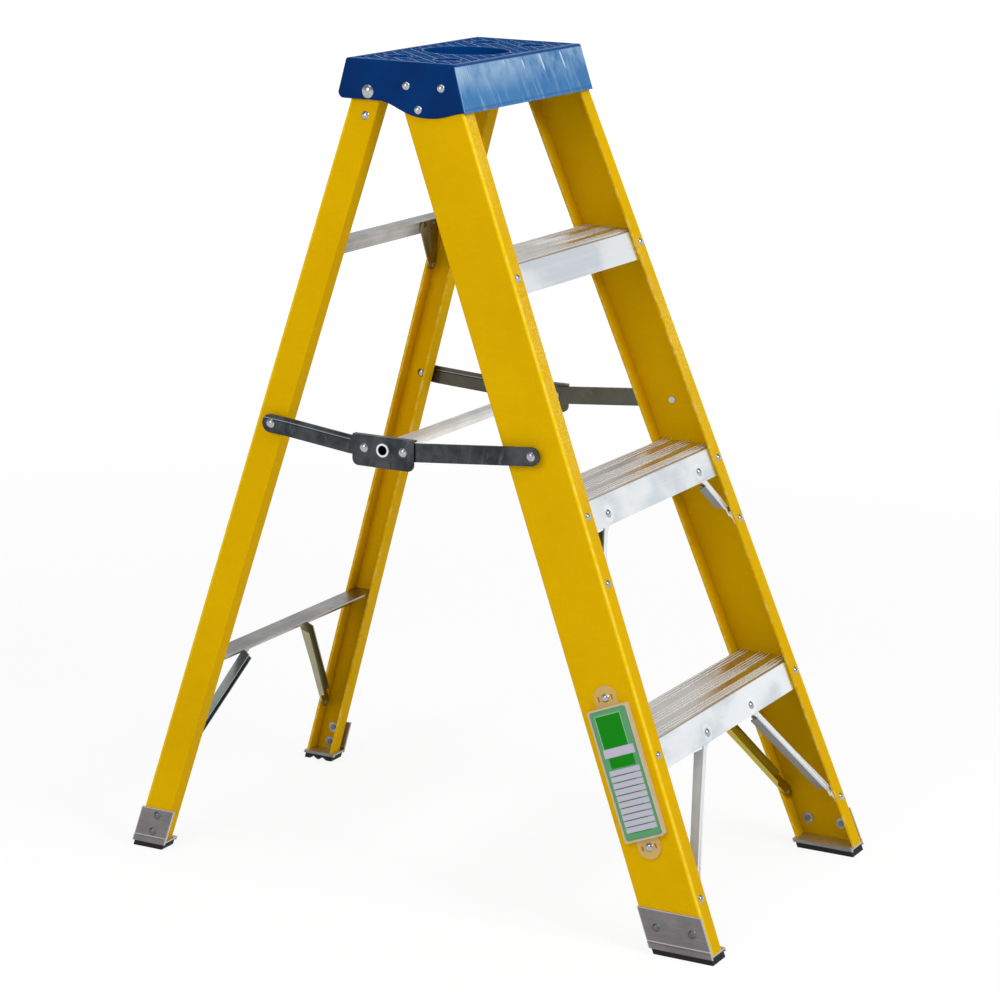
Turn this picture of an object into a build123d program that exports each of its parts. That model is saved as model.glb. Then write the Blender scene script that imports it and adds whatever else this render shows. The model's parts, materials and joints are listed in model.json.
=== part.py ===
"""Fibreglass step ladder with three aluminium treads, a moulded deck and a folding spreader.

Millimetres, +Z up.  The climbing side faces -Y, +X is to the right of someone who faces the treads'
back, and the origin is on the floor in the middle of the four feet.
"""
import os
from math import asin, atan, atan2, copysign, cos, degrees, hypot, radians, sin, tan

from build123d import *

os.makedirs("parts", exist_ok=True)

# Stance of the open ladder
DECK_HEIGHT = 1094.0
FRONT_LEAN = 22.0
REAR_LEAN = 16.0
FRONT_SPLAY = 4.1
REAR_SPLAY = 3.65
FRONT_HALF_WIDTH = 253.0

# Pultruded channel rails
RAIL_WALL = 4.0
FRONT_RAIL_DEPTH = 82.5
FRONT_FLANGE = 27.0
FRONT_CORNER = 3.5
REAR_RAIL_DEPTH = 41.5
REAR_FLANGE = 26.0
REAR_CORNER = 3.0
REAR_LINE = 24.0
TOE_RADIUS = 1.2
FRONT_FLANGE_INSET = 13.0
REAR_FLANGE_INSET = 16.0

# Shoes and rubber pads
PAD_TREAD = 7.5
PAD_KEY = 2.5
PAD_INSET = 3.0
PAD_SIDE_GAP = 1.5
GROOVE_WIDTH = 12.0
GROOVE_DEPTH = 4.0
GROOVE_SHARE = 0.7
REAR_GROOVES = (-1 / 6, 1 / 6)
SHOE_BASE = 2.0
SHOE_SHEET = 2.5
SHOE_LIP = 2.5
SHOE_CREASE_HEIGHT = 16.0
SHOE_CREASE_STEP = 0.6
FRONT_SHOE_TOP = 58.5
FRONT_SHOE_WIDTH = 40.0
FRONT_SHOE_RIVET_HEIGHT = 35.6
FRONT_SHOE_RIVET_PITCH = 50.0
REAR_SHOE_TOP = 57.0
REAR_SHOE_WIDTH = 31.0
REAR_SHOE_OVERHANG = 2.5
REAR_SHOE_LEAD = 6.5
REAR_SHOE_RIVET_HEIGHTS = (24.0, 47.6)

# Treads
FIRST_STEP = 268.0
STEP_RISE = 290.0
TREAD_SHEET = 2.4
TREAD_NOSE = 2.0
TREAD_END_GAP = 0.4
SKIRT_SHEET = 2.2
SKIRT_DROP = 38.0
TREAD_RIB_WIDTH = 1.8
TREAD_RIB_HEIGHT = 1.0
TREAD_RIB_PITCH = 5.0
TREAD_RIB_GROUPS = ((11.0, 3), (39.0, 4), (69.0, 3))
STEP_RIVET_DROP = 16.0

# Tread braces: inset from the rail and drop below the tread at the top, fall to the foot's rivet
BRACE_WIDTH = 8.0
BRACE_FOOT_WIDTH = 14.0
BRACE_SHEET = 1.8
BRACE_DEPTH = 13.0
BRACE_FLAT = 25.0
BRACE_RAMP = 12.0
BRACE_LEAD = 3.0
BRACE_SHOULDER = 9.0
BACK_BRACE_WIDTH = 18.0
BACK_BRACE_DEPTH = 8.0
BRACE_TOP_RADIUS = 9.5
BRACE_TAB = 12.0
LOW_BRACE_INSET = 164.7
LOW_BRACE_DROP = 26.5
LOW_BRACE_FALL = 190.0
LOW_BACK_BRACE_FALL = 198.0
MID_BRACE_INSET = 74.8
MID_BRACE_DROP = 24.5
MID_BRACE_FALL = 98.0

# Cross bars and braces of the rear frame
BAR_SHEET = 2.4
BAR_END_GAP = 0.5
BAR_RIVET_DROP = 13.5
UPPER_BAR_HEIGHT = 852.0
UPPER_BAR_TOP_LEG = 23.0
UPPER_BAR_REAR_LEG = 27.0
LOWER_BAR_HEIGHT = 273.0
LOWER_BAR_TOP_LEG = 32.5
LOWER_BAR_REAR_LEG = 25.0
BAR_CORNER = 10.0
REAR_BRACE_WIDTH = 14.0
REAR_BRACE_FOOT_WIDTH = 12.0
REAR_BRACE_DEPTH = 10.8
REAR_BRACE_FLAT = 14.0
REAR_BRACE_INSET = 154.5
REAR_BRACE_FALL = 181.5
GUSSET_INSET = 57.0
GUSSET_RIVETS = 30.0
GUSSET_TOP_RADIUS = 10.5
GUSSET_FOOT_RADIUS = 8.0
GUSSET_FOOT_REACH = 9.0
GUSSET_RIB = 4.0
GUSSET_FALL = 77.9

# Moulded top cap
CAP_WALL = 3.5
CAP_DECK = 4.0
CAP_LENGTH = 160.0
CAP_LEAD = 10.5
CAP_FRONT_FLARE = 16.9
CAP_REAR_FLARE = 12.5
CAP_FRONT_DROP = 60.0
CAP_REAR_DROP = 52.0
CAP_LOW_DROP = 70.0
CAP_LOW_SETBACK = 57.0
CAP_FLAT_LENGTH = 60.0
CAP_EDGE = 3.5
CAP_HEEL_RADIUS = 8.0
CAP_RIM = 8.0
CAP_RECESS = 2.6
CAP_RIB = 2.0
CAP_RIB_PITCH = 17.0
CAP_DISH_RADIUS = 57.0
CAP_DISH_DEPTH = 10.0
CAP_TOOL_RADIUS = 17.0
CAP_TOOL_SPAN = 118.0
CAP_TOOL_REACH = 36.0
CAP_RIVETS = ((21.5, 30.5), (72.0, 30.5), (64.5, 59.5))

# Hinge between the cap and the rear rails
HINGE_DROP = 41.0
HINGE_SETBACK = 131.2
HINGE_GAP = 3.2
HINGE_PIN = 5.0
HINGE_HEAD = 8.8
HINGE_HEAD_RISE = 4.2
HINGE_TAIL = 7.2
HINGE_WASHER = 12.0
HINGE_PLATE_SHEET = 3.0
HINGE_PLATE_WIDTH = 26.0
HINGE_PLATE_LENGTH = 66.0
HINGE_PLATE_RISE = 16.0
HINGE_RIVET_DROP = 31.5
HINGE_RIVET_LEAD = 3.0
REAR_RAIL_TOP = 14.0

# Spreader linkage
SPREADER_FRONT_HEIGHT = 614.0
SPREADER_REAR_DROP = 3.5
TUBE_REACH = 212.5
TUBE_SAG = 16.3
PLATE_PIVOTS = 57.4
ARM_WIDTH = 24.6
ARM_SHEET = 3.0
ARM_STANDOFF = 8.2
REAR_ARM_STANDOFF = 4.5
ARM_BEND_LENGTH = 26.0
PLATE_SHEET = 2.4
PLATE_LENGTH = 91.0
PLATE_ABOVE = 17.4
PLATE_BELOW = 24.0
PLATE_CORNER = 9.0
PLATE_LIP = 6.0
EMBOSS_WIDTH = 24.0
EMBOSS_HEIGHT = 11.0
EMBOSS_RISE = 0.8
TUBE_OUTER = 9.0
TUBE_INNER = 6.0
TUBE_PROUD = 1.6
SPREADER_PIN = 3.2
SPREADER_PIN_HEAD = 6.2
SPREADER_PIN_TAIL = 4.6
SPACER_OUTER = 7.0

# Rivets
RIVET_SHANK = 2.4
RIVET_HEAD = 5.6
RIVET_RISE = 3.2
RIVET_TAIL = 3.8
RIVET_TAIL_RISE = 1.4
WASHER_OUTER = 8.0
WASHER_SHEET = 1.2

# Inspection tag
TAG_HEIGHT = 228.0
TAG_WIDTH = 58.0
TAG_LENGTH = 174.0
TAG_THICKNESS = 8.0
TAG_CORNER = 4.0
TAG_SCREW_SPAN = 196.0
TAG_EAR_WIDTH = 32.0
TAG_EAR_SHEET = 2.5
TAG_SLOT = (7.0, 2.6)
TAG_SLOT_SPAN = 19.0
TAG_FRAME = 2.5
TAG_POCKET = 1.6
CARD_SHEET = 0.8
CARD_GAP = 0.5

# Clearances
RIVET_FIT = 0.1
PIN_FIT = 0.06
SLIDE_GAP = 0.3

# Slopes and horizontal sizes that follow from the lean and the splay
FRONT_RUN = tan(radians(FRONT_LEAN))
REAR_RUN = -tan(radians(REAR_LEAN))
FRONT_TAPER = tan(radians(FRONT_SPLAY))
REAR_TAPER = tan(radians(REAR_SPLAY))
FRONT_DEPTH = FRONT_RAIL_DEPTH / cos(radians(FRONT_LEAN))
REAR_DEPTH = REAR_RAIL_DEPTH / cos(radians(REAR_LEAN))
REAR_LINE_Y = REAR_LINE / cos(radians(REAR_LEAN))
FRONT_WALL_Y = RAIL_WALL / cos(radians(FRONT_LEAN))
REAR_WALL_Y = RAIL_WALL / cos(radians(REAR_LEAN))
FRONT_WALL_X = RAIL_WALL / cos(radians(FRONT_SPLAY))
REAR_WALL_X = RAIL_WALL / cos(radians(REAR_SPLAY))
SKIRT_Y = SKIRT_SHEET / cos(radians(FRONT_LEAN))
BAR_Y = BAR_SHEET / cos(radians(REAR_LEAN))
CAP_WALL_X = CAP_WALL / cos(radians(FRONT_SPLAY))
RAIL_FOOT = PAD_TREAD + PAD_KEY + SHOE_BASE
RIVET_HOLE = RIVET_SHANK + RIVET_FIT

# The rear frame hangs on the hinge, so its width and the spread of the feet follow from there
HINGE_HEIGHT = DECK_HEIGHT - HINGE_DROP
FOOT_SPREAD = (FRONT_RUN - REAR_RUN) * HINGE_HEIGHT + HINGE_SETBACK + REAR_LINE_Y
REAR_HALF_WIDTH = FRONT_HALF_WIDTH - HINGE_GAP + (REAR_TAPER - FRONT_TAPER) * HINGE_HEIGHT

# The shoes' outermost edges stand equally far from the origin
FRONT_START = -(FOOT_SPREAD + REAR_SHOE_OVERHANG + (FRONT_RUN + REAR_RUN) * PAD_TREAD) / 2
REAR_START = FRONT_START + FOOT_SPREAD

STEP_HEIGHTS = {
    "bottom_step": FIRST_STEP,
    "middle_step": FIRST_STEP + STEP_RISE,
    "top_step": FIRST_STEP + 2 * STEP_RISE,
}
SIDES = {"left": -1, "right": 1}
LOW_BRACE_FOOT = FIRST_STEP - LOW_BRACE_FALL
LOW_BACK_BRACE_FOOT = FIRST_STEP - LOW_BACK_BRACE_FALL
MID_BRACE_FOOT = FIRST_STEP + STEP_RISE - MID_BRACE_FALL
REAR_BRACE_FOOT = LOWER_BAR_HEIGHT - REAR_BRACE_FALL
GUSSET_FOOT = UPPER_BAR_HEIGHT - GUSSET_FALL


def front_y(z):
    """Front face of the front rails at a height."""
    return FRONT_START + FRONT_RUN * z


def rear_y(z):
    """Rear face of the rear rails at a height."""
    return REAR_START + REAR_RUN * z


def front_half(z):
    """Half width over the front rails' webs at a height."""
    return FRONT_HALF_WIDTH - FRONT_TAPER * z


def rear_half(z):
    """Half width over the rear rails' webs at a height."""
    return REAR_HALF_WIDTH - REAR_TAPER * z


def front_mid_y(z):
    """Middle line of a front rail's web."""
    return front_y(z) + FRONT_DEPTH / 2


def rear_line_y(z):
    """Line of the pins and rivets on a rear rail's web."""
    return rear_y(z) - REAR_LINE_Y


def slope_plane(start_y, run, facing):
    """Plane across the ladder that leans with a rail and faces the front (-1) or the rear (1)."""
    lean = atan(run)
    normal = (0, facing * cos(lean), -facing * sin(lean))
    return Plane(origin=(0, start_y, 0), x_dir=(-facing, 0, 0), z_dir=normal)


def on_slope(run, facing, x, z):
    """Sketch point on such a plane from a sideways place and a height."""
    return (-facing * x, z / cos(atan(run)))


def slope_spot(start_y, run, facing, x, z):
    """Place for a fastener on such a plane, pointing out of it."""
    plane = slope_plane(start_y, run, facing)
    return Plane(origin=(x, start_y + run * z, z), x_dir=plane.x_dir, z_dir=plane.z_dir)


def web_spot(side, half_width, taper, run, y, z):
    """Place for a fastener on a web, pointing outwards, with its x axis up along the rail."""
    along = Vector(-side * taper, run, 1)
    return Plane(origin=(side * half_width, y, z), x_dir=along, z_dir=(side, 0, taper))


def pin_spot(side, half_width, y, z):
    """Place for a pin that lies along X, with its head outwards."""
    return Plane(origin=(side * half_width, y, z), x_dir=(0, 1, 0), z_dir=(side, 0, 0))


def save(piece, name):
    """Name a finished piece and write it out."""
    piece.part.label = name
    export_step(piece.part, f"parts/{name}.step")


def drill(spots, radius, wall):
    """Cut a fastener's holes through one wall of the piece being made."""
    with Locations(*spots):
        Cylinder(radius, 3 * wall, mode=Mode.SUBTRACT)


def rivet(head, rise, shank, grip, tail, tail_rise):
    """One rivet along Z: a dome above the origin, a shank and a flat tail below it."""
    ball = (head**2 + rise**2) / (2 * rise)
    half_angle = asin(head / ball) / 2
    crown = (ball * sin(half_angle), rise - ball + ball * cos(half_angle))
    with BuildPart() as blank:
        with BuildSketch(Plane.XZ):
            with BuildLine():
                ThreePointArc((0, rise), crown, (head, 0))
                Polyline((head, 0), (shank, 0), (shank, -grip), (tail, -grip))
                Polyline((tail, -grip), (tail, -grip - tail_rise), (0, -grip - tail_rise), (0, rise))
            make_face()
        revolve(axis=Axis.Z)
    return blank.part


def button(head, rise, shank, length):
    """A domed head above the origin and a plain shank below it, along Z."""
    ball = (head**2 + rise**2) / (2 * rise)
    half_angle = asin(head / ball) / 2
    crown = (ball * sin(half_angle), rise - ball + ball * cos(half_angle))
    with BuildPart() as blank:
        with BuildSketch(Plane.XZ):
            with BuildLine():
                ThreePointArc((0, rise), crown, (head, 0))
                Polyline((head, 0), (shank, 0), (shank, -length), (0, -length), (0, rise))
            make_face()
        revolve(axis=Axis.Z)
    return blank.part


def rivet_group(name, spots, grip):
    """A node of like rivets, each a solid of its own."""
    blank = rivet(RIVET_HEAD, RIVET_RISE, RIVET_SHANK, grip, RIVET_TAIL, RIVET_TAIL_RISE)
    with BuildPart() as group:
        with Locations(*spots):
            add(blank)
    save(group, name)


# Fastener places on the front frame
STEP_FRONT_SPOTS = {}
STEP_BACK_SPOTS = {}
LOW_FOOT_SPOTS = {}
LOW_BACK_FOOT_SPOTS = {}
MID_FOOT_SPOTS = {}
CAP_SPOTS = {}
FRONT_SHOE_SPOTS = {}
for side_name, side in SIDES.items():
    step_rivet_heights = [top - STEP_RIVET_DROP for top in STEP_HEIGHTS.values()]
    STEP_FRONT_SPOTS[side_name] = []
    STEP_BACK_SPOTS[side_name] = []
    for height in step_rivet_heights:
        rivet_x = side * (front_half(height) - FRONT_FLANGE_INSET)
        STEP_FRONT_SPOTS[side_name].append(slope_spot(FRONT_START, FRONT_RUN, -1, rivet_x, height))
        back_spot = slope_spot(FRONT_START + FRONT_DEPTH, FRONT_RUN, 1, rivet_x, height)
        STEP_BACK_SPOTS[side_name].append(back_spot)
    foot_x = side * (front_half(LOW_BRACE_FOOT) - FRONT_FLANGE_INSET)
    LOW_FOOT_SPOTS[side_name] = slope_spot(FRONT_START, FRONT_RUN, -1, foot_x, LOW_BRACE_FOOT)
    foot_x = side * (front_half(LOW_BACK_BRACE_FOOT) - FRONT_FLANGE_INSET)
    LOW_BACK_FOOT_SPOTS[side_name] = slope_spot(
        FRONT_START + FRONT_DEPTH, FRONT_RUN, 1, foot_x, LOW_BACK_BRACE_FOOT
    )
    foot_x = side * (front_half(MID_BRACE_FOOT) - FRONT_FLANGE_INSET)
    MID_FOOT_SPOTS[side_name] = slope_spot(FRONT_START, FRONT_RUN, -1, foot_x, MID_BRACE_FOOT)
    CAP_SPOTS[side_name] = []
    for setback, drop in CAP_RIVETS:
        height = DECK_HEIGHT - drop
        cap_half = front_half(height) + CAP_WALL_X
        rivet_y = front_y(height) + setback
        CAP_SPOTS[side_name].append(web_spot(side, cap_half, FRONT_TAPER, FRONT_RUN, rivet_y, height))
    FRONT_SHOE_SPOTS[side_name] = []
    for shift in (-FRONT_SHOE_RIVET_PITCH / 2, FRONT_SHOE_RIVET_PITCH / 2):
        height = FRONT_SHOE_RIVET_HEIGHT
        plate_half = front_half(height) + SHOE_SHEET / cos(radians(FRONT_SPLAY))
        rivet_y = front_mid_y(height) + shift
        spot = web_spot(side, plate_half, FRONT_TAPER, FRONT_RUN, rivet_y, height)
        FRONT_SHOE_SPOTS[side_name].append(spot)

# Fastener places on the rear frame
HINGE_Y = rear_line_y(HINGE_HEIGHT)
HINGE_RIVET_HEIGHT = HINGE_HEIGHT - HINGE_RIVET_DROP
UPPER_BAR_RIVET = UPPER_BAR_HEIGHT - BAR_RIVET_DROP
LOWER_BAR_RIVET = LOWER_BAR_HEIGHT - BAR_RIVET_DROP
BAR_SPOTS = {}
REAR_FOOT_SPOTS = {}
GUSSET_FOOT_SPOTS = {}
HINGE_RIVET_SPOTS = {}
REAR_SHOE_SPOTS = {}
for side_name, side in SIDES.items():
    BAR_SPOTS[side_name] = []
    for height in (UPPER_BAR_RIVET, LOWER_BAR_RIVET):
        rivet_x = side * (rear_half(height) - REAR_FLANGE_INSET)
        BAR_SPOTS[side_name].append(slope_spot(REAR_START, REAR_RUN, 1, rivet_x, height))
    foot_x = side * (rear_half(REAR_BRACE_FOOT) - REAR_FLANGE_INSET)
    REAR_FOOT_SPOTS[side_name] = slope_spot(REAR_START, REAR_RUN, 1, foot_x, REAR_BRACE_FOOT)
    foot_x = side * (rear_half(GUSSET_FOOT) - REAR_FLANGE_INSET)
    GUSSET_FOOT_SPOTS[side_name] = slope_spot(REAR_START, REAR_RUN, 1, foot_x, GUSSET_FOOT)
    height = HINGE_RIVET_HEIGHT
    HINGE_RIVET_SPOTS[side_name] = web_spot(
        side, rear_half(height), REAR_TAPER, REAR_RUN, rear_line_y(height) - HINGE_RIVET_LEAD, height
    )
    REAR_SHOE_SPOTS[side_name] = []
    for height in REAR_SHOE_RIVET_HEIGHTS:
        plate_half = rear_half(height) + SHOE_SHEET / cos(radians(REAR_SPLAY))
        spot = web_spot(side, plate_half, REAR_TAPER, REAR_RUN, rear_line_y(height), height)
        REAR_SHOE_SPOTS[side_name].append(spot)

# Spreader pivots at rest
SPREADER_REAR_HEIGHT = SPREADER_FRONT_HEIGHT - SPREADER_REAR_DROP
FRONT_PIVOT = (front_mid_y(SPREADER_FRONT_HEIGHT), SPREADER_FRONT_HEIGHT)
REAR_PIVOT = (rear_line_y(SPREADER_REAR_HEIGHT), SPREADER_REAR_HEIGHT)
TUBE_CENTRE = (FRONT_PIVOT[0] + TUBE_REACH, FRONT_PIVOT[1] - TUBE_SAG)
PLATE_FRONT_PIVOT = (TUBE_CENTRE[0] - PLATE_PIVOTS / 2, TUBE_CENTRE[1])
PLATE_REAR_PIVOT = (TUBE_CENTRE[0] + PLATE_PIVOTS / 2, TUBE_CENTRE[1])
ARM_INNER = front_half(SPREADER_FRONT_HEIGHT) + ARM_STANDOFF
ARM_OUTER = ARM_INNER + ARM_SHEET
REAR_ARM_INNER = rear_half(SPREADER_REAR_HEIGHT) + REAR_ARM_STANDOFF
PLATE_INNER = ARM_OUTER + SLIDE_GAP
PLATE_OUTER = PLATE_INNER + PLATE_SHEET

# Inspection tag on the left front rail
TAG_HALF = front_half(TAG_HEIGHT)
TAG_PLACE = web_spot(SIDES["left"], TAG_HALF, FRONT_TAPER, FRONT_RUN, front_mid_y(TAG_HEIGHT), TAG_HEIGHT)
TAG_SCREW_SPOTS = [
    Plane(
        origin=TAG_PLACE.from_local_coords(Vector(end * TAG_SCREW_SPAN / 2, 0, 0)),
        x_dir=TAG_PLACE.x_dir,
        z_dir=TAG_PLACE.z_dir,
    )
    for end in (-1, 1)
]

# Heights of the rails' ends
CAP_UNDERSIDE = DECK_HEIGHT - CAP_RECESS - CAP_DECK
REAR_TOP = HINGE_HEIGHT + REAR_RAIL_TOP


# Front rails
for side_name, side in SIDES.items():
    along = Vector(-side * FRONT_TAPER, FRONT_RUN, 1)
    with BuildPart() as front_rail:
        with BuildSketch(Plane.XY.offset(RAIL_FOOT)) as section:
            with Locations((side * (front_half(RAIL_FOOT) - FRONT_FLANGE / 2), front_mid_y(RAIL_FOOT))):
                Rectangle(FRONT_FLANGE, FRONT_DEPTH)
            fillet(section.vertices().sort_by(Axis.X)[:: -side][:2], FRONT_CORNER)
            hollow_x = side * (front_half(RAIL_FOOT) - FRONT_WALL_X - FRONT_FLANGE / 2)
            with Locations((hollow_x, front_mid_y(RAIL_FOOT))):
                Rectangle(FRONT_FLANGE, FRONT_DEPTH - 2 * FRONT_WALL_Y, mode=Mode.SUBTRACT)
            fillet(section.vertices().sort_by(Axis.X)[::side][:4], TOE_RADIUS)
        extrude(amount=(CAP_UNDERSIDE - RAIL_FOOT) * along.length, dir=along)
        drill(STEP_FRONT_SPOTS[side_name] + STEP_BACK_SPOTS[side_name], RIVET_HOLE, RAIL_WALL)
        drill([LOW_FOOT_SPOTS[side_name], LOW_BACK_FOOT_SPOTS[side_name]], RIVET_HOLE, RAIL_WALL)
        drill([MID_FOOT_SPOTS[side_name]], RIVET_HOLE, RAIL_WALL)
        drill(CAP_SPOTS[side_name], RIVET_HOLE, CAP_WALL + RAIL_WALL)
        drill(FRONT_SHOE_SPOTS[side_name], RIVET_HOLE, SHOE_SHEET + RAIL_WALL)
        pivot_half = front_half(SPREADER_FRONT_HEIGHT)
        drill([pin_spot(side, pivot_half, *FRONT_PIVOT)], SPREADER_PIN + RIVET_FIT, 2 * RAIL_WALL)
        if side_name == "left":
            drill(TAG_SCREW_SPOTS, RIVET_HOLE, RAIL_WALL)
    save(front_rail, f"front_rail_{side_name}")

# Rear rails
for side_name, side in SIDES.items():
    along = Vector(-side * REAR_TAPER, REAR_RUN, 1)
    section_y = rear_y(RAIL_FOOT) - REAR_DEPTH / 2
    with BuildPart() as rear_rail:
        with BuildSketch(Plane.XY.offset(RAIL_FOOT)) as section:
            with Locations((side * (rear_half(RAIL_FOOT) - REAR_FLANGE / 2), section_y)):
                Rectangle(REAR_FLANGE, REAR_DEPTH)
            fillet(section.vertices().sort_by(Axis.X)[:: -side][:2], REAR_CORNER)
            hollow_x = side * (rear_half(RAIL_FOOT) - REAR_WALL_X - REAR_FLANGE / 2)
            with Locations((hollow_x, section_y)):
                Rectangle(REAR_FLANGE, REAR_DEPTH - 2 * REAR_WALL_Y, mode=Mode.SUBTRACT)
            fillet(section.vertices().sort_by(Axis.X)[::side][:4], TOE_RADIUS)
        extrude(amount=(REAR_TOP - RAIL_FOOT) * along.length, dir=along)
        drill(BAR_SPOTS[side_name], RIVET_HOLE, RAIL_WALL)
        drill([REAR_FOOT_SPOTS[side_name], GUSSET_FOOT_SPOTS[side_name]], RIVET_HOLE, RAIL_WALL)
        drill([HINGE_RIVET_SPOTS[side_name]], RIVET_HOLE, RAIL_WALL)
        drill(REAR_SHOE_SPOTS[side_name], RIVET_HOLE, SHOE_SHEET + RAIL_WALL)
        hinge_spot = pin_spot(side, rear_half(HINGE_HEIGHT), HINGE_Y, HINGE_HEIGHT)
        drill([hinge_spot], HINGE_PIN + PIN_FIT, 2 * RAIL_WALL)
        pivot_half = rear_half(SPREADER_REAR_HEIGHT)
        anchor_spot = web_spot(side, pivot_half, REAR_TAPER, REAR_RUN, *REAR_PIVOT)
        drill([anchor_spot], SPREADER_PIN + RIVET_FIT, 2 * RAIL_WALL)
    save(rear_rail, f"rear_rail_{side_name}")


def shoe(half, taper, run, facing, start_y, depth, width, top, spots, side):
    """Aluminium shoe: a plate on the web, a base under the rail and two lips that hold the pad."""
    sheet = SHOE_SHEET / cos(atan(taper))
    outer = half(PAD_TREAD) + sheet + SHOE_CREASE_STEP
    inner = half(RAIL_FOOT) + sheet - width
    base = PAD_TREAD + PAD_KEY
    outline = [
        (half(top), top),
        (half(top) + sheet, top),
        (half(SHOE_CREASE_HEIGHT) + sheet, SHOE_CREASE_HEIGHT),
        (half(SHOE_CREASE_HEIGHT) + sheet + SHOE_CREASE_STEP, SHOE_CREASE_HEIGHT),
        (outer, PAD_TREAD),
        (outer - SHOE_LIP, PAD_TREAD),
        (outer - SHOE_LIP, base),
        (inner + SHOE_LIP, base),
        (inner + SHOE_LIP, PAD_TREAD),
        (inner, PAD_TREAD),
        (inner, RAIL_FOOT),
        (half(RAIL_FOOT), RAIL_FOOT),
    ]
    points = [on_slope(run, facing, side * x, z) for x, z in outline]
    with BuildPart() as piece:
        with BuildSketch(slope_plane(start_y, run, facing)):
            with BuildLine():
                Polyline(*points, close=True)
            make_face()
        extrude(amount=depth, dir=(0, -facing, 0))
        drill(spots, RIVET_HOLE, SHOE_SHEET)
    return piece


def pad(half, taper, run, facing, start_y, depth, width, grooves, side):
    """Rubber pad keyed between the shoe's lips, with V grooves that start at its inner side."""
    sheet = SHOE_SHEET / cos(atan(taper))
    outer = half(PAD_TREAD) + sheet + SHOE_CREASE_STEP
    inner = half(RAIL_FOOT) + sheet - width
    tread_outer = outer - PAD_SIDE_GAP
    tread_inner = inner + PAD_SIDE_GAP
    base = PAD_TREAD + PAD_KEY
    outline = [
        (tread_inner, PAD_TREAD),
        (inner + SHOE_LIP, PAD_TREAD),
        (inner + SHOE_LIP, base),
        (outer - SHOE_LIP, base),
        (outer - SHOE_LIP, PAD_TREAD),
        (tread_outer, PAD_TREAD),
        (tread_outer, 0),
        (tread_inner, 0),
    ]
    points = [on_slope(run, facing, side * x, z) for x, z in outline]
    length = depth - 2 * PAD_INSET
    first_y = start_y - facing * PAD_INSET
    middle_y = first_y - facing * length / 2
    with BuildPart() as piece:
        with BuildSketch(slope_plane(first_y, run, facing)):
            with BuildLine():
                Polyline(*points, close=True)
            make_face()
        extrude(amount=length, dir=(0, -facing, 0))
        for share in grooves:
            groove_y = middle_y + share * length
            with BuildSketch(Plane.YZ.offset(side * tread_inner)):
                with BuildLine():
                    Polyline(
                        (groove_y - GROOVE_WIDTH / 2, 0),
                        (groove_y, GROOVE_DEPTH),
                        (groove_y + GROOVE_WIDTH / 2, 0),
                        close=True,
                    )
                make_face()
            extrude(amount=side * GROOVE_SHARE * (tread_outer - tread_inner), mode=Mode.SUBTRACT)
    return piece


# Shoes and pads
for side_name, side in SIDES.items():
    front_shoe = shoe(front_half, FRONT_TAPER, FRONT_RUN, -1, FRONT_START, FRONT_DEPTH,
                      FRONT_SHOE_WIDTH, FRONT_SHOE_TOP, FRONT_SHOE_SPOTS[side_name], side)
    save(front_shoe, f"front_shoe_{side_name}")
    front_pad = pad(front_half, FRONT_TAPER, FRONT_RUN, -1, FRONT_START, FRONT_DEPTH,
                    FRONT_SHOE_WIDTH, (), side)
    save(front_pad, f"front_pad_{side_name}")
    rear_end = REAR_START + REAR_SHOE_OVERHANG
    rear_length = REAR_DEPTH + REAR_SHOE_OVERHANG + REAR_SHOE_LEAD
    rear_shoe = shoe(rear_half, REAR_TAPER, REAR_RUN, 1, rear_end, rear_length,
                     REAR_SHOE_WIDTH, REAR_SHOE_TOP, REAR_SHOE_SPOTS[side_name], side)
    save(rear_shoe, f"rear_shoe_{side_name}")
    rear_pad = pad(rear_half, REAR_TAPER, REAR_RUN, 1, rear_end, rear_length,
                   REAR_SHOE_WIDTH, REAR_GROOVES, side)
    save(rear_pad, f"rear_pad_{side_name}")


# Brace places, each a sideways place and a height
LOW_BRACE_TOP = FIRST_STEP - LOW_BRACE_DROP
MID_BRACE_TOP = FIRST_STEP + STEP_RISE - MID_BRACE_DROP
SKIRT_FRONT = FRONT_START + FRONT_WALL_Y
SKIRT_BACK = FRONT_START + FRONT_DEPTH - FRONT_WALL_Y
BAR_BACK = REAR_START - REAR_WALL_Y
LOW_BRACE_SPAN = front_half(LOW_BRACE_TOP) - LOW_BRACE_INSET
MID_BRACE_SPAN = front_half(MID_BRACE_TOP) - MID_BRACE_INSET
REAR_BRACE_SPAN = rear_half(LOWER_BAR_RIVET) - REAR_BRACE_INSET
GUSSET_SPAN = rear_half(UPPER_BAR_RIVET) - GUSSET_INSET
LOW_TOP_SPOTS = [
    slope_spot(SKIRT_FRONT, FRONT_RUN, -1, side * LOW_BRACE_SPAN, LOW_BRACE_TOP) for side in SIDES.values()
]
LOW_BACK_TOP_SPOTS = [
    slope_spot(SKIRT_BACK, FRONT_RUN, 1, side * LOW_BRACE_SPAN, LOW_BRACE_TOP) for side in SIDES.values()
]
MID_TOP_SPOTS = [
    slope_spot(SKIRT_FRONT, FRONT_RUN, -1, side * MID_BRACE_SPAN, MID_BRACE_TOP) for side in SIDES.values()
]
REAR_TOP_SPOTS = [
    slope_spot(BAR_BACK, REAR_RUN, 1, side * REAR_BRACE_SPAN, LOWER_BAR_RIVET) for side in SIDES.values()
]
GUSSET_TOP_SPOTS = {
    side_name: [
        slope_spot(BAR_BACK, REAR_RUN, 1, side * (GUSSET_SPAN + shift), UPPER_BAR_RIVET)
        for shift in (-GUSSET_RIVETS / 2, GUSSET_RIVETS / 2)
    ]
    for side_name, side in SIDES.items()
}
GUSSET_TOPS = [spot for spots in GUSSET_TOP_SPOTS.values() for spot in spots]

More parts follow.
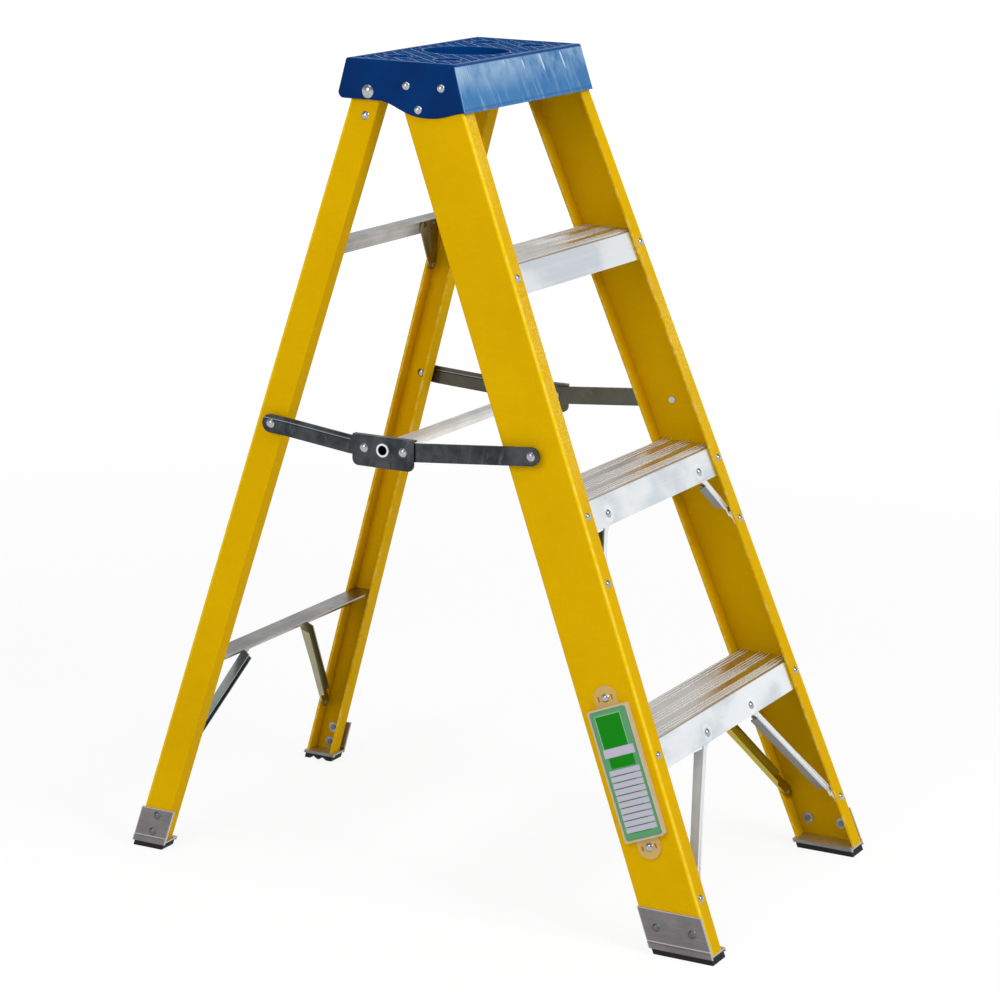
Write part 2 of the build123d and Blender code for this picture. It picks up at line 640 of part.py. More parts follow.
# Treads: ribbed channels that stand between the flanges of the front rails
for step_name, top in STEP_HEIGHTS.items():
    floor = top - TREAD_RIB_HEIGHT
    under = floor - TREAD_SHEET
    low = top - SKIRT_DROP
    skirt_front = [SKIRT_FRONT + FRONT_RUN * z for z in (floor, under, low)]
    skirt_back = [SKIRT_BACK + FRONT_RUN * z for z in (floor, under, low)]
    spots = {
        "bottom_step": LOW_TOP_SPOTS + LOW_BACK_TOP_SPOTS,
        "middle_step": MID_TOP_SPOTS,
        "top_step": [],
    }[step_name]
    index = list(STEP_HEIGHTS).index(step_name)
    for side_name in SIDES:
        spots = spots + [STEP_FRONT_SPOTS[side_name][index], STEP_BACK_SPOTS[side_name][index]]
    half_length = front_half(top) - FRONT_WALL_X - TREAD_END_GAP
    with BuildPart() as step:
        with BuildSketch(Plane.YZ) as profile:
            with BuildLine():
                Polyline(
                    (skirt_front[0], floor),
                    (skirt_back[0], floor),
                    (skirt_back[2], low),
                    (skirt_back[2] - SKIRT_Y, low),
                    (skirt_back[1] - SKIRT_Y, under),
                    (skirt_front[1] + SKIRT_Y, under),
                    (skirt_front[2] + SKIRT_Y, low),
                    (skirt_front[2], low),
                    close=True,
                )
            make_face()
            fillet(profile.vertices().group_by(Axis.Y)[-1], TREAD_NOSE)
            for setback, count in TREAD_RIB_GROUPS:
                with Locations((skirt_front[0] + setback, floor - TREAD_RIB_HEIGHT / 2)):
                    with GridLocations(TREAD_RIB_PITCH, 0, count, 1):
                        Rectangle(TREAD_RIB_WIDTH, 3 * TREAD_RIB_HEIGHT)
        extrude(amount=half_length, both=True)
        drill(spots, RIVET_HOLE, RAIL_WALL + SKIRT_SHEET)
    save(step, step_name)


def brace(plane, top_spot, foot_spot, width, foot_width, joggle, depth, flat):
    """Folded steel strut: a strip with broad flat ends, two turned edges and a foot set back to the rail."""
    top = plane.to_local_coords(top_spot.origin)
    foot = plane.to_local_coords(foot_spot.origin)
    length = hypot(top.X - foot.X, top.Y - foot.Y)
    turn = degrees(atan2(top.Y - foot.Y, top.X - foot.X))
    aim = Vector((top.X - foot.X) / length, (top.Y - foot.Y) / length)
    centre = ((top.X + foot.X) / 2, (top.Y + foot.Y) / 2)
    middle = plane.from_local_coords(Vector(*centre, 0))
    run = (top_spot.origin - foot_spot.origin).normalized()
    across = run.cross(plane.z_dir)
    edge = width / 2 - BRACE_SHEET / 2
    low = BRACE_FLAT - length / 2
    high = length / 2 - flat
    turned = [(low, 0), (low + BRACE_RAMP, -depth), (high - BRACE_LEAD, -depth), (high, 0)]
    outline = [
        (low - BRACE_SHOULDER, -foot_width / 2),
        (low, -width / 2),
        (high, -width / 2),
        (length / 2, -BRACE_TOP_RADIUS),
        (length / 2, BRACE_TOP_RADIUS),
        (high, width / 2),
        (low, width / 2),
        (low - BRACE_SHOULDER, foot_width / 2),
    ]
    with BuildPart() as piece:
        with BuildSketch(plane):
            with Locations(centre):
                SlotCenterToCenter(length, width, rotation=turn)
                Polygon(*outline, rotation=turn, align=None)
            with Locations((foot.X, foot.Y)):
                Circle(foot_width / 2)
            with Locations((top.X, top.Y)):
                Circle(BRACE_TOP_RADIUS)
        extrude(amount=-BRACE_SHEET)
        for way in (-1, 1):
            with BuildSketch(Plane(middle + across * (way * edge), x_dir=run, z_dir=across)):
                Polygon(*turned, align=None)
            extrude(amount=BRACE_SHEET / 2, both=True)
        with BuildSketch(plane):
            with Locations((foot.X + aim.X * BRACE_TAB / 2, foot.Y + aim.Y * BRACE_TAB / 2)):
                SlotCenterToCenter(BRACE_TAB, foot_width, rotation=turn)
        extrude(amount=joggle)
        drill([top_spot, foot_spot], RIVET_HOLE, RAIL_WALL + joggle + BRACE_SHEET)
    return piece


# Tread braces and rear braces
FRONT_BRACE_PLANE = slope_plane(SKIRT_FRONT + SKIRT_Y, FRONT_RUN, -1)
BACK_BRACE_PLANE = slope_plane(SKIRT_BACK - SKIRT_Y, FRONT_RUN, 1)
REAR_BRACE_PLANE = slope_plane(BAR_BACK - BAR_Y, REAR_RUN, 1)
for index, side_name in enumerate(SIDES):
    low_brace = brace(FRONT_BRACE_PLANE, LOW_TOP_SPOTS[index], LOW_FOOT_SPOTS[side_name],
                      BRACE_WIDTH, BRACE_FOOT_WIDTH, SKIRT_SHEET, BRACE_DEPTH, BRACE_FLAT)
    save(low_brace, f"bottom_step_front_brace_{side_name}")
    back_brace = brace(BACK_BRACE_PLANE, LOW_BACK_TOP_SPOTS[index], LOW_BACK_FOOT_SPOTS[side_name],
                       BACK_BRACE_WIDTH, BRACE_FOOT_WIDTH, SKIRT_SHEET, BACK_BRACE_DEPTH, BRACE_FLAT)
    save(back_brace, f"bottom_step_rear_brace_{side_name}")
    middle_brace = brace(FRONT_BRACE_PLANE, MID_TOP_SPOTS[index], MID_FOOT_SPOTS[side_name],
                         BRACE_WIDTH, BRACE_FOOT_WIDTH, SKIRT_SHEET, BRACE_DEPTH, BRACE_FLAT)
    save(middle_brace, f"middle_step_brace_{side_name}")
    rear_brace = brace(REAR_BRACE_PLANE, REAR_TOP_SPOTS[index], REAR_FOOT_SPOTS[side_name],
                       REAR_BRACE_WIDTH, REAR_BRACE_FOOT_WIDTH, BAR_SHEET, REAR_BRACE_DEPTH, REAR_BRACE_FLAT)
    save(rear_brace, f"rear_brace_{side_name}")

# Gussets: stamped plates with two rivets at the top, one at the foot and a rib between them
for side_name in SIDES:
    foot = REAR_BRACE_PLANE.to_local_coords(GUSSET_FOOT_SPOTS[side_name].origin)
    tops = [REAR_BRACE_PLANE.to_local_coords(spot.origin) for spot in GUSSET_TOP_SPOTS[side_name]]
    middle = (tops[0] + tops[1]) / 2
    reach = copysign(GUSSET_FOOT_REACH, middle.X - foot.X)
    rib_length = (middle - foot).length - BRACE_FLAT - GUSSET_TOP_RADIUS
    rib_centre = foot + (middle - foot).normalized() * (BRACE_FLAT + rib_length / 2)
    rib_turn = degrees(atan2(middle.Y - foot.Y, middle.X - foot.X))
    with BuildPart() as gusset:
        with BuildSketch(REAR_BRACE_PLANE):
            with Locations(*[(top.X, top.Y) for top in tops]):
                Circle(GUSSET_TOP_RADIUS)
            with Locations((foot.X, foot.Y), (foot.X + reach, foot.Y + GUSSET_FOOT_REACH)):
                Circle(GUSSET_FOOT_RADIUS)
            make_hull()
        extrude(amount=-BRACE_SHEET)
        with BuildSketch(REAR_BRACE_PLANE.offset(-BRACE_SHEET)):
            with Locations((rib_centre.X, rib_centre.Y)):
                SlotOverall(rib_length, 2 * GUSSET_RIB, rotation=rib_turn)
        extrude(amount=-GUSSET_RIB / 2)
        with BuildSketch(REAR_BRACE_PLANE):
            with Locations((foot.X, foot.Y)):
                Circle(GUSSET_FOOT_RADIUS)
        extrude(amount=BAR_SHEET)
        spots = GUSSET_TOP_SPOTS[side_name] + [GUSSET_FOOT_SPOTS[side_name]]
        drill(spots, RIVET_HOLE, RAIL_WALL + BAR_SHEET + BRACE_SHEET)
    save(gusset, f"upper_gusset_{side_name}")

# Cross bars of the rear frame: angles with a flat top and a leg on the rear flanges
CROSS_BARS = {
    "rear_crossbar_upper": (UPPER_BAR_HEIGHT, UPPER_BAR_TOP_LEG, UPPER_BAR_REAR_LEG, GUSSET_TOPS),
    "rear_crossbar_lower": (LOWER_BAR_HEIGHT, LOWER_BAR_TOP_LEG, LOWER_BAR_REAR_LEG, REAR_TOP_SPOTS),
}
for index, (bar_name, (top, top_leg, rear_leg, spots)) in enumerate(CROSS_BARS.items()):
    back = [BAR_BACK + REAR_RUN * z for z in (top, top - BAR_SHEET, top - rear_leg)]
    end_spots = [BAR_SPOTS[side_name][index] for side_name in SIDES]
    with BuildPart() as crossbar:
        with BuildSketch(Plane.YZ):
            with BuildLine():
                Polyline(
                    (back[0], top),
                    (back[0] - top_leg, top),
                    (back[0] - top_leg, top - BAR_SHEET),
                    (back[1] - BAR_Y, top - BAR_SHEET),
                    (back[2] - BAR_Y, top - rear_leg),
                    (back[2], top - rear_leg),
                    close=True,
                )
            make_face()
        extrude(amount=rear_half(top) - REAR_WALL_X - BAR_END_GAP, both=True)
        fillet(crossbar.edges().filter_by(Axis.Z).group_by(Axis.Y)[0], BAR_CORNER)
        drill(spots + end_spots, RIVET_HOLE, RAIL_WALL + BAR_SHEET)
    save(crossbar, bar_name)

# Outline of the top cap seen from the side
CAP_FRONT = front_y(DECK_HEIGHT) - CAP_LEAD
CAP_BACK = CAP_FRONT + CAP_LENGTH
CAP_MIDDLE = (CAP_FRONT + CAP_BACK) / 2
CAP_TOE = CAP_FRONT - CAP_FRONT_DROP * tan(radians(CAP_FRONT_FLARE))
CAP_HEEL = CAP_BACK + CAP_REAR_DROP * tan(radians(CAP_REAR_FLARE))
CAP_LOW_Y = CAP_TOE + CAP_LOW_SETBACK
CAP_FLAT_Y = CAP_HEEL - CAP_FLAT_LENGTH
CAP_FRONT_Z = DECK_HEIGHT - CAP_FRONT_DROP
CAP_REAR_Z = DECK_HEIGHT - CAP_REAR_DROP
CAP_LOW_Z = DECK_HEIGHT - CAP_LOW_DROP
CAP_WALL_FRONT = CAP_WALL / cos(radians(CAP_FRONT_FLARE))
CAP_WALL_BACK = CAP_WALL / cos(radians(CAP_REAR_FLARE))
CAP_HALF = front_half(DECK_HEIGHT) + CAP_WALL_X
CAP_REACH = front_half(CAP_LOW_Z) + CAP_WALL_X


def cap_side_plane(side, wall):
    """Sloping side of the cap, a wall's width outside the front rails' webs."""
    return Plane(origin=(side * (front_half(0) + wall), 0, 0), x_dir=(0, 1, 0), z_dir=(side, 0, FRONT_TAPER))


# The cap's hollow, open below
hollow_drop = 2 * CAP_LOW_DROP
front_slope = tan(radians(CAP_FRONT_FLARE))
rear_slope = tan(radians(CAP_REAR_FLARE))
ceiling_drop = DECK_HEIGHT - CAP_UNDERSIDE
with BuildPart() as cap_hollow:
    with BuildSketch(Plane.YZ):
        with BuildLine():
            Polyline(
                (CAP_FRONT + CAP_WALL_FRONT - ceiling_drop * front_slope, CAP_UNDERSIDE),
                (CAP_BACK - CAP_WALL_BACK + ceiling_drop * rear_slope, CAP_UNDERSIDE),
                (CAP_BACK - CAP_WALL_BACK + hollow_drop * rear_slope, DECK_HEIGHT - hollow_drop),
                (CAP_FRONT + CAP_WALL_FRONT - hollow_drop * front_slope, DECK_HEIGHT - hollow_drop),
                close=True,
            )
        make_face()
    extrude(amount=2 * CAP_REACH, both=True)
    for side in SIDES.values():
        split(bisect_by=cap_side_plane(side, 0), keep=Keep.BOTTOM)

# Top cap: deck, sloping skirts with a drooping lower edge, and a ribbed tool tray
DECK_SIDES = (2 * (CAP_HALF - CAP_RIM), CAP_LENGTH - 2 * CAP_RIM)
TOOL_HOLES = (2 * CAP_TOOL_SPAN, 2 * CAP_TOOL_REACH)
RIB_STEP = CAP_RIB_PITCH * 2**0.5
RIB_COUNT = 2 * int(sum(DECK_SIDES) / 2 / RIB_STEP) + 1
with BuildPart() as top_cap:
    with BuildSketch(Plane.YZ):
        with BuildLine():
            Polyline((CAP_FLAT_Y, CAP_REAR_Z), (CAP_HEEL, CAP_REAR_Z), (CAP_BACK, DECK_HEIGHT))
            Polyline((CAP_BACK, DECK_HEIGHT), (CAP_FRONT, DECK_HEIGHT), (CAP_TOE, CAP_FRONT_Z))
            droop = CAP_LOW_Y - CAP_TOE
            Bezier((CAP_TOE, CAP_FRONT_Z), (CAP_TOE + droop / 3, CAP_FRONT_Z),
                   (CAP_LOW_Y - droop / 2, CAP_LOW_Z), (CAP_LOW_Y, CAP_LOW_Z))
            sweep_up = CAP_FLAT_Y - CAP_LOW_Y
            Bezier((CAP_LOW_Y, CAP_LOW_Z), (CAP_LOW_Y + sweep_up / 2, CAP_LOW_Z),
                   (CAP_FLAT_Y - sweep_up / 3, CAP_REAR_Z), (CAP_FLAT_Y, CAP_REAR_Z))
        make_face()
    extrude(amount=2 * CAP_REACH, both=True)
    for side in SIDES.values():
        split(bisect_by=cap_side_plane(side, CAP_WALL_X), keep=Keep.BOTTOM)
    heel_edge = top_cap.edges().filter_by(Axis.X).sort_by(Axis.Y)[-1]
    fillet(heel_edge, CAP_HEEL_RADIUS)
    corner_edges = top_cap.edges().filter_by(lambda e: abs((e @ 0).Z - (e @ 1).Z) > CAP_REAR_DROP / 2)
    fillet(corner_edges, CAP_EDGE)
    fillet(top_cap.faces().sort_by(Axis.Z)[-1].edges(), CAP_EDGE)
    add(cap_hollow.part, mode=Mode.SUBTRACT)
    with BuildSketch(Plane.XY.offset(DECK_HEIGHT)):
        with Locations((0, CAP_MIDDLE)):
            RectangleRounded(*DECK_SIDES, CAP_EDGE)
    extrude(amount=-CAP_RECESS, mode=Mode.SUBTRACT)
    with BuildSketch(Plane.XY.offset(DECK_HEIGHT - CAP_RECESS)):
        with Locations((0, CAP_MIDDLE)):
            Circle(CAP_DISH_RADIUS + CAP_WALL)
    extrude(amount=CAP_RECESS - CAP_DISH_DEPTH - CAP_DECK)
    with BuildSketch(Plane.XY.offset(DECK_HEIGHT)):
        with Locations((0, CAP_MIDDLE)):
            Circle(CAP_DISH_RADIUS)
    extrude(amount=-CAP_DISH_DEPTH, mode=Mode.SUBTRACT)
    with BuildSketch(Plane.XY.offset(DECK_HEIGHT - CAP_RECESS)):
        with Locations((0, CAP_MIDDLE)):
            for turn in (45, -45):
                with GridLocations(RIB_STEP, 0, RIB_COUNT, 1):
                    Rectangle(CAP_RIB, 2 * DECK_SIDES[1], rotation=turn)
            Circle(CAP_DISH_RADIUS, mode=Mode.SUBTRACT)
            with GridLocations(*TOOL_HOLES, 2, 2):
                Circle(CAP_TOOL_RADIUS, mode=Mode.SUBTRACT)
            Rectangle(*DECK_SIDES, mode=Mode.INTERSECT)
            Circle(CAP_DISH_RADIUS + CAP_RIB)
            Circle(CAP_DISH_RADIUS, mode=Mode.SUBTRACT)
            with GridLocations(*TOOL_HOLES, 2, 2):
                Circle(CAP_TOOL_RADIUS + CAP_RIB)
            with GridLocations(*TOOL_HOLES, 2, 2):
                Circle(CAP_TOOL_RADIUS, mode=Mode.SUBTRACT)
    extrude(amount=CAP_RECESS - CAP_RIB / 4)
    for side_name, side in SIDES.items():
        drill(CAP_SPOTS[side_name], RIVET_HOLE, CAP_WALL)
        hinge_spot = pin_spot(side, front_half(HINGE_HEIGHT) + CAP_WALL_X / 2, HINGE_Y, HINGE_HEIGHT)
        drill([hinge_spot], HINGE_PIN + RIVET_FIT, CAP_WALL)
save(top_cap, "top_cap")

# Hinges: a stout pin through the cap's side, a washer, the rail's web and a plate inside the rail
head_place = front_half(HINGE_HEIGHT - HINGE_HEAD) + CAP_WALL_X
tail_place = rear_half(HINGE_HEIGHT + HINGE_HEAD) - REAR_WALL_X - HINGE_PLATE_SHEET - 2 * SLIDE_GAP
pin = rivet(HINGE_HEAD, HINGE_HEAD_RISE, HINGE_PIN, head_place - tail_place, HINGE_TAIL, RIVET_TAIL_RISE)
with BuildPart() as hinge_pins:
    with Locations(*[pin_spot(side, head_place, HINGE_Y, HINGE_HEIGHT) for side in SIDES.values()]):
        add(pin)
save(hinge_pins, "hinge_pins")
washer_outer = front_half(HINGE_HEIGHT + HINGE_WASHER)
washer_inner = rear_half(HINGE_HEIGHT - HINGE_WASHER) + SLIDE_GAP
with BuildPart() as hinge_washers:
    for side in SIDES.values():
        with BuildSketch(Plane.YZ.offset(side * washer_inner)):
            with Locations((HINGE_Y, HINGE_HEIGHT)):
                Circle(HINGE_WASHER)
                Circle(HINGE_PIN + RIVET_FIT, mode=Mode.SUBTRACT)
        extrude(amount=side * (washer_outer - washer_inner))
save(hinge_washers, "hinge_washers")
plate_shift = HINGE_PLATE_RISE - HINGE_PLATE_LENGTH / 2
with BuildPart() as hinge_plates:
    for side_name, side in SIDES.items():
        web_place = web_spot(side, rear_half(HINGE_HEIGHT), REAR_TAPER, REAR_RUN, HINGE_Y, HINGE_HEIGHT)
        with BuildSketch(web_place.offset(-RAIL_WALL)):
            with Locations((plate_shift, 0)):
                RectangleRounded(HINGE_PLATE_LENGTH, HINGE_PLATE_WIDTH, CAP_EDGE)
        extrude(amount=-HINGE_PLATE_SHEET)
        drill([HINGE_RIVET_SPOTS[side_name]], RIVET_HOLE, 2 * RAIL_WALL + HINGE_PLATE_SHEET)
        drill([pin_spot(side, rear_half(HINGE_HEIGHT), HINGE_Y, HINGE_HEIGHT)],
              HINGE_PIN + PIN_FIT, 2 * RAIL_WALL + HINGE_PLATE_SHEET)
save(hinge_plates, "hinge_plates")


def pierce(place, radius):
    """Cut a hole along X through the spreader piece that is being made."""
    with Locations(Plane.YZ):
        with Locations(place):
            Cylinder(radius, 4 * ARM_INNER, mode=Mode.SUBTRACT)


# Spreader arms: flat bars outside the webs, the rear one bent in towards the narrower rear frame
for side_name, side in SIDES.items():
    run_y = PLATE_FRONT_PIVOT[0] - FRONT_PIVOT[0]
    rise_z = PLATE_FRONT_PIVOT[1] - FRONT_PIVOT[1]
    arm_centre = ((FRONT_PIVOT[0] + PLATE_FRONT_PIVOT[0]) / 2, (FRONT_PIVOT[1] + PLATE_FRONT_PIVOT[1]) / 2)
    with BuildPart() as front_arm:
        with BuildSketch(Plane.YZ.offset(side * ARM_INNER)):
            with Locations(arm_centre):
                SlotCenterToCenter(hypot(run_y, rise_z), ARM_WIDTH, rotation=degrees(atan2(rise_z, run_y)))
        extrude(amount=side * ARM_SHEET)
        pierce(FRONT_PIVOT, SPREADER_PIN + PIN_FIT)
        pierce(PLATE_FRONT_PIVOT, SPREADER_PIN + PIN_FIT)
    save(front_arm, f"spreader_front_arm_{side_name}")
    run_y = REAR_PIVOT[0] - PLATE_REAR_PIVOT[0]
    rise_z = REAR_PIVOT[1] - PLATE_REAR_PIVOT[1]
    arm_centre = ((REAR_PIVOT[0] + PLATE_REAR_PIVOT[0]) / 2, (REAR_PIVOT[1] + PLATE_REAR_PIVOT[1]) / 2)
    bend_start = PLATE_REAR_PIVOT[0] + ARM_BEND_LENGTH
    bend_end = REAR_PIVOT[0] - ARM_BEND_LENGTH
    strip = [
        (ARM_INNER, PLATE_REAR_PIVOT[0] - ARM_WIDTH),
        (ARM_INNER, bend_start),
        (REAR_ARM_INNER, bend_end),
        (REAR_ARM_INNER, REAR_PIVOT[0] + ARM_WIDTH),
    ]
    plan = strip + [(x + ARM_SHEET, y) for x, y in reversed(strip)]
    with BuildPart() as rear_arm:
        with BuildSketch(Plane.YZ):
            with Locations(arm_centre):
                SlotCenterToCenter(hypot(run_y, rise_z), ARM_WIDTH, rotation=degrees(atan2(rise_z, run_y)))
        extrude(amount=side * 2 * ARM_INNER)
        with BuildSketch(Plane.XY.offset(REAR_PIVOT[1])):
            with BuildLine():
                Polyline(*[(side * x, y) for x, y in plan], close=True)
            make_face()
        extrude(amount=2 * ARM_WIDTH, both=True, mode=Mode.INTERSECT)
        pierce(REAR_PIVOT, SPREADER_PIN + RIVET_FIT)
        pierce(PLATE_REAR_PIVOT, SPREADER_PIN + PIN_FIT)
    save(rear_arm, f"spreader_rear_arm_{side_name}")

# Spreader plates: a lip along the top stops the arms, a shallow boss stiffens the lower edge
for side_name, side in SIDES.items():
    plate_low = TUBE_CENTRE[1] - PLATE_BELOW
    plate_top = TUBE_CENTRE[1] + PLATE_ABOVE
    plate_centre = (TUBE_CENTRE[0], (plate_low + plate_top) / 2)
    with BuildPart() as spreader_plate:
        with BuildSketch(Plane.YZ.offset(side * PLATE_INNER)) as outline:
            with Locations(plate_centre):
                Rectangle(PLATE_LENGTH, plate_top - plate_low)
            fillet(outline.vertices().group_by(Axis.Y)[0], PLATE_CORNER)
        extrude(amount=side * PLATE_SHEET)
        with BuildSketch(Plane.YZ.offset(side * PLATE_INNER)):
            with Locations((TUBE_CENTRE[0], plate_top - PLATE_SHEET / 2)):
                Rectangle(PLATE_LENGTH, PLATE_SHEET)
        extrude(amount=-side * PLATE_LIP)
        with BuildSketch(Plane.YZ.offset(side * PLATE_OUTER)) as boss:
            with Locations((TUBE_CENTRE[0], plate_low + EMBOSS_HEIGHT / 2)):
                Rectangle(EMBOSS_WIDTH, EMBOSS_HEIGHT)
            fillet(boss.vertices().group_by(Axis.Y)[-1], EMBOSS_HEIGHT / 2)
        extrude(amount=side * EMBOSS_RISE)
        pierce(PLATE_FRONT_PIVOT, SPREADER_PIN + RIVET_FIT)
        pierce(PLATE_REAR_PIVOT, SPREADER_PIN + RIVET_FIT)
        pierce(TUBE_CENTRE, TUBE_OUTER + RIVET_FIT)
    save(spreader_plate, f"spreader_plate_{side_name}")

# Spreader tube
with BuildPart() as spreader_tube:
    with BuildSketch(Plane.YZ):
        with Locations(TUBE_CENTRE):
            Circle(TUBE_OUTER)
            Circle(TUBE_INNER, mode=Mode.SUBTRACT)
    extrude(amount=PLATE_OUTER + TUBE_PROUD, both=True)
save(spreader_tube, "spreader_tube")


def pin_group(name, head_place, tail_place, places):
    """Spreader pins along X, one on each side at every place."""
    blank = rivet(SPREADER_PIN_HEAD, RIVET_RISE, SPREADER_PIN, head_place - tail_place,
                  SPREADER_PIN_TAIL, RIVET_TAIL_RISE)
    spots = [pin_spot(side, head_place, *place) for side in SIDES.values() for place in places]
    with BuildPart() as group:
        with Locations(*spots):
            add(blank)
    save(group, name)


# Spreader pins.  The rear pins turn with the rear arms on spacers that belong to the rear rails.
front_web_inner = front_half(SPREADER_FRONT_HEIGHT + SPREADER_PIN_HEAD) - FRONT_WALL_X
pin_group("spreader_front_pins", ARM_OUTER + SLIDE_GAP, front_web_inner, [FRONT_PIVOT])
plate_places = [PLATE_FRONT_PIVOT, PLATE_REAR_PIVOT]
pin_group("spreader_plate_pins", PLATE_OUTER, ARM_INNER - SLIDE_GAP, plate_places)
rear_head = button(SPREADER_PIN_HEAD, RIVET_RISE, SPREADER_PIN, ARM_SHEET)
with BuildPart() as rear_pins:
    with Locations(*[pin_spot(side, REAR_ARM_INNER + ARM_SHEET, *REAR_PIVOT) for side in SIDES.values()]):
        add(rear_head)
save(rear_pins, "spreader_rear_pins")

# Spacers between the arms and the webs, cut to the webs' slope
SPACERS = {
    "front": (front_half, FRONT_TAPER, FRONT_PIVOT, ARM_INNER - SLIDE_GAP, SPREADER_PIN + RIVET_FIT),
    "rear": (rear_half, REAR_TAPER, REAR_PIVOT, REAR_ARM_INNER - SLIDE_GAP, 0),
}
for frame_name, (half, taper, place, face, bore) in SPACERS.items():
    with BuildPart() as spacers:
        for side in SIDES.values():
            with BuildSketch(Plane.YZ.offset(side * face)):
                with Locations(place):
                    Circle(SPACER_OUTER)
                    if bore:
                        Circle(bore, mode=Mode.SUBTRACT)
            extrude(amount=-side * (face - half(place[1]) + RAIL_WALL))
        for side in SIDES.values():
            with BuildSketch(Plane(origin=(side * half(0), 0, 0), x_dir=(0, 1, 0), z_dir=(side, 0, taper))):
                Rectangle(4 * DECK_HEIGHT, 4 * DECK_HEIGHT)
            extrude(amount=-SPACER_OUTER, mode=Mode.SUBTRACT)
    save(spacers, f"spreader_{frame_name}_spacers")

# Buttons that hold the rear spacers from inside the rear rails
rear_outer = rear_half(SPREADER_REAR_HEIGHT)
anchor = button(SPREADER_PIN_HEAD, RIVET_RISE, SPREADER_PIN, RAIL_WALL)
with BuildPart() as rear_anchors:
    for side in SIDES.values():
        outer_spot = web_spot(-side, -rear_outer, -REAR_TAPER, REAR_RUN, *REAR_PIVOT)
        with Locations(outer_spot.offset(RAIL_WALL)):
            add(anchor)
save(rear_anchors, "spreader_rear_anchors")

# Rivets, in groups of one kind and one grip
both_sides = list(SIDES)
step_spots = [spot for name in both_sides for spot in STEP_FRONT_SPOTS[name] + STEP_BACK_SPOTS[name]]
rivet_group("step_rivets", step_spots, RAIL_WALL + SKIRT_SHEET)
rivet_group("step_brace_top_rivets", LOW_TOP_SPOTS + LOW_BACK_TOP_SPOTS + MID_TOP_SPOTS,
            SKIRT_SHEET + BRACE_SHEET)
foot_spots = [LOW_FOOT_SPOTS[name] for name in both_sides]
foot_spots += [LOW_BACK_FOOT_SPOTS[name] for name in both_sides]
foot_spots += [MID_FOOT_SPOTS[name] for name in both_sides]
rivet_group("step_brace_foot_rivets", foot_spots, RAIL_WALL + SKIRT_SHEET + BRACE_SHEET)
rivet_group("cap_rivets", [spot for name in both_sides for spot in CAP_SPOTS[name]], CAP_WALL + RAIL_WALL)
rivet_group("crossbar_rivets", [spot for name in both_sides for spot in BAR_SPOTS[name]],
            RAIL_WALL + BAR_SHEET)
rivet_group("rear_brace_top_rivets", REAR_TOP_SPOTS + GUSSET_TOPS, BAR_SHEET + BRACE_SHEET)
foot_spots = [REAR_FOOT_SPOTS[name] for name in both_sides]
foot_spots += [GUSSET_FOOT_SPOTS[name] for name in both_sides]
rivet_group("rear_brace_foot_rivets", foot_spots, RAIL_WALL + BAR_SHEET + BRACE_SHEET)
rivet_group("hinge_plate_rivets", list(HINGE_RIVET_SPOTS.values()), RAIL_WALL + HINGE_PLATE_SHEET)

# Shoe rivets with a washer inside the web
for frame_name, shoe_spots in {"front": FRONT_SHOE_SPOTS, "rear": REAR_SHOE_SPOTS}.items():
    spots = [spot for name in both_sides for spot in shoe_spots[name]]
    rivet_group(f"{frame_name}_shoe_rivets", spots, SHOE_SHEET + RAIL_WALL + WASHER_SHEET)
    with BuildPart() as washers:
        for spot in spots:
            with BuildSketch(spot.offset(-SHOE_SHEET - RAIL_WALL)):
                Circle(WASHER_OUTER)
                Circle(RIVET_HOLE, mode=Mode.SUBTRACT)
            extrude(amount=-WASHER_SHEET)
    save(washers, f"{frame_name}_shoe_washers")

# Inspection tag: a framed pocket with an ear at each end, its card and two screws
CARD_EDGE = TAG_FRAME + CARD_GAP
with BuildPart() as tag_holder:
    with BuildSketch(TAG_PLACE):
        Rectangle(TAG_SCREW_SPAN, TAG_EAR_WIDTH)
        with GridLocations(TAG_SCREW_SPAN, 0, 2, 1):
            Circle(TAG_EAR_WIDTH / 2)
        with GridLocations(TAG_SCREW_SPAN, TAG_SLOT_SPAN, 2, 2):
            SlotOverall(*TAG_SLOT, mode=Mode.SUBTRACT)
    extrude(amount=TAG_EAR_SHEET)
    with BuildSketch(TAG_PLACE):
        RectangleRounded(TAG_LENGTH, TAG_WIDTH, TAG_CORNER)
    extrude(amount=TAG_THICKNESS)
    with BuildSketch(TAG_PLACE.offset(TAG_THICKNESS)):
        RectangleRounded(TAG_LENGTH - 2 * TAG_FRAME, TAG_WIDTH - 2 * TAG_FRAME, TAG_CORNER)
    extrude(amount=-TAG_POCKET, mode=Mode.SUBTRACT)
    drill(TAG_SCREW_SPOTS, RIVET_HOLE, 2 * TAG_EAR_SHEET)
save(tag_holder, "tag_holder")
with BuildPart() as tag_card:
    with BuildSketch(TAG_PLACE.offset(TAG_THICKNESS - TAG_POCKET)):
        RectangleRounded(TAG_LENGTH - 2 * CARD_EDGE, TAG_WIDTH - 2 * CARD_EDGE, TAG_CORNER)
    extrude(amount=CARD_SHEET)
save(tag_card, "tag_card")
screw_spots = [spot.offset(TAG_EAR_SHEET) for spot in TAG_SCREW_SPOTS]
rivet_group("tag_screws", screw_spots, TAG_EAR_SHEET + RAIL_WALL)

# Places that the joints and rests need
print("hinge", HINGE_Y, HINGE_HEIGHT)
print("spreader front pivot", FRONT_PIVOT)
print("spreader rear pivot", REAR_PIVOT)
print("spreader plate pivots", PLATE_FRONT_PIVOT, PLATE_REAR_PIVOT)
print("spreader tube", TUBE_CENTRE)
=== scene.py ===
"""Looks of a fibreglass step ladder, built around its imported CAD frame."""
import json
import math

import bpy
from mathutils import Matrix, Vector


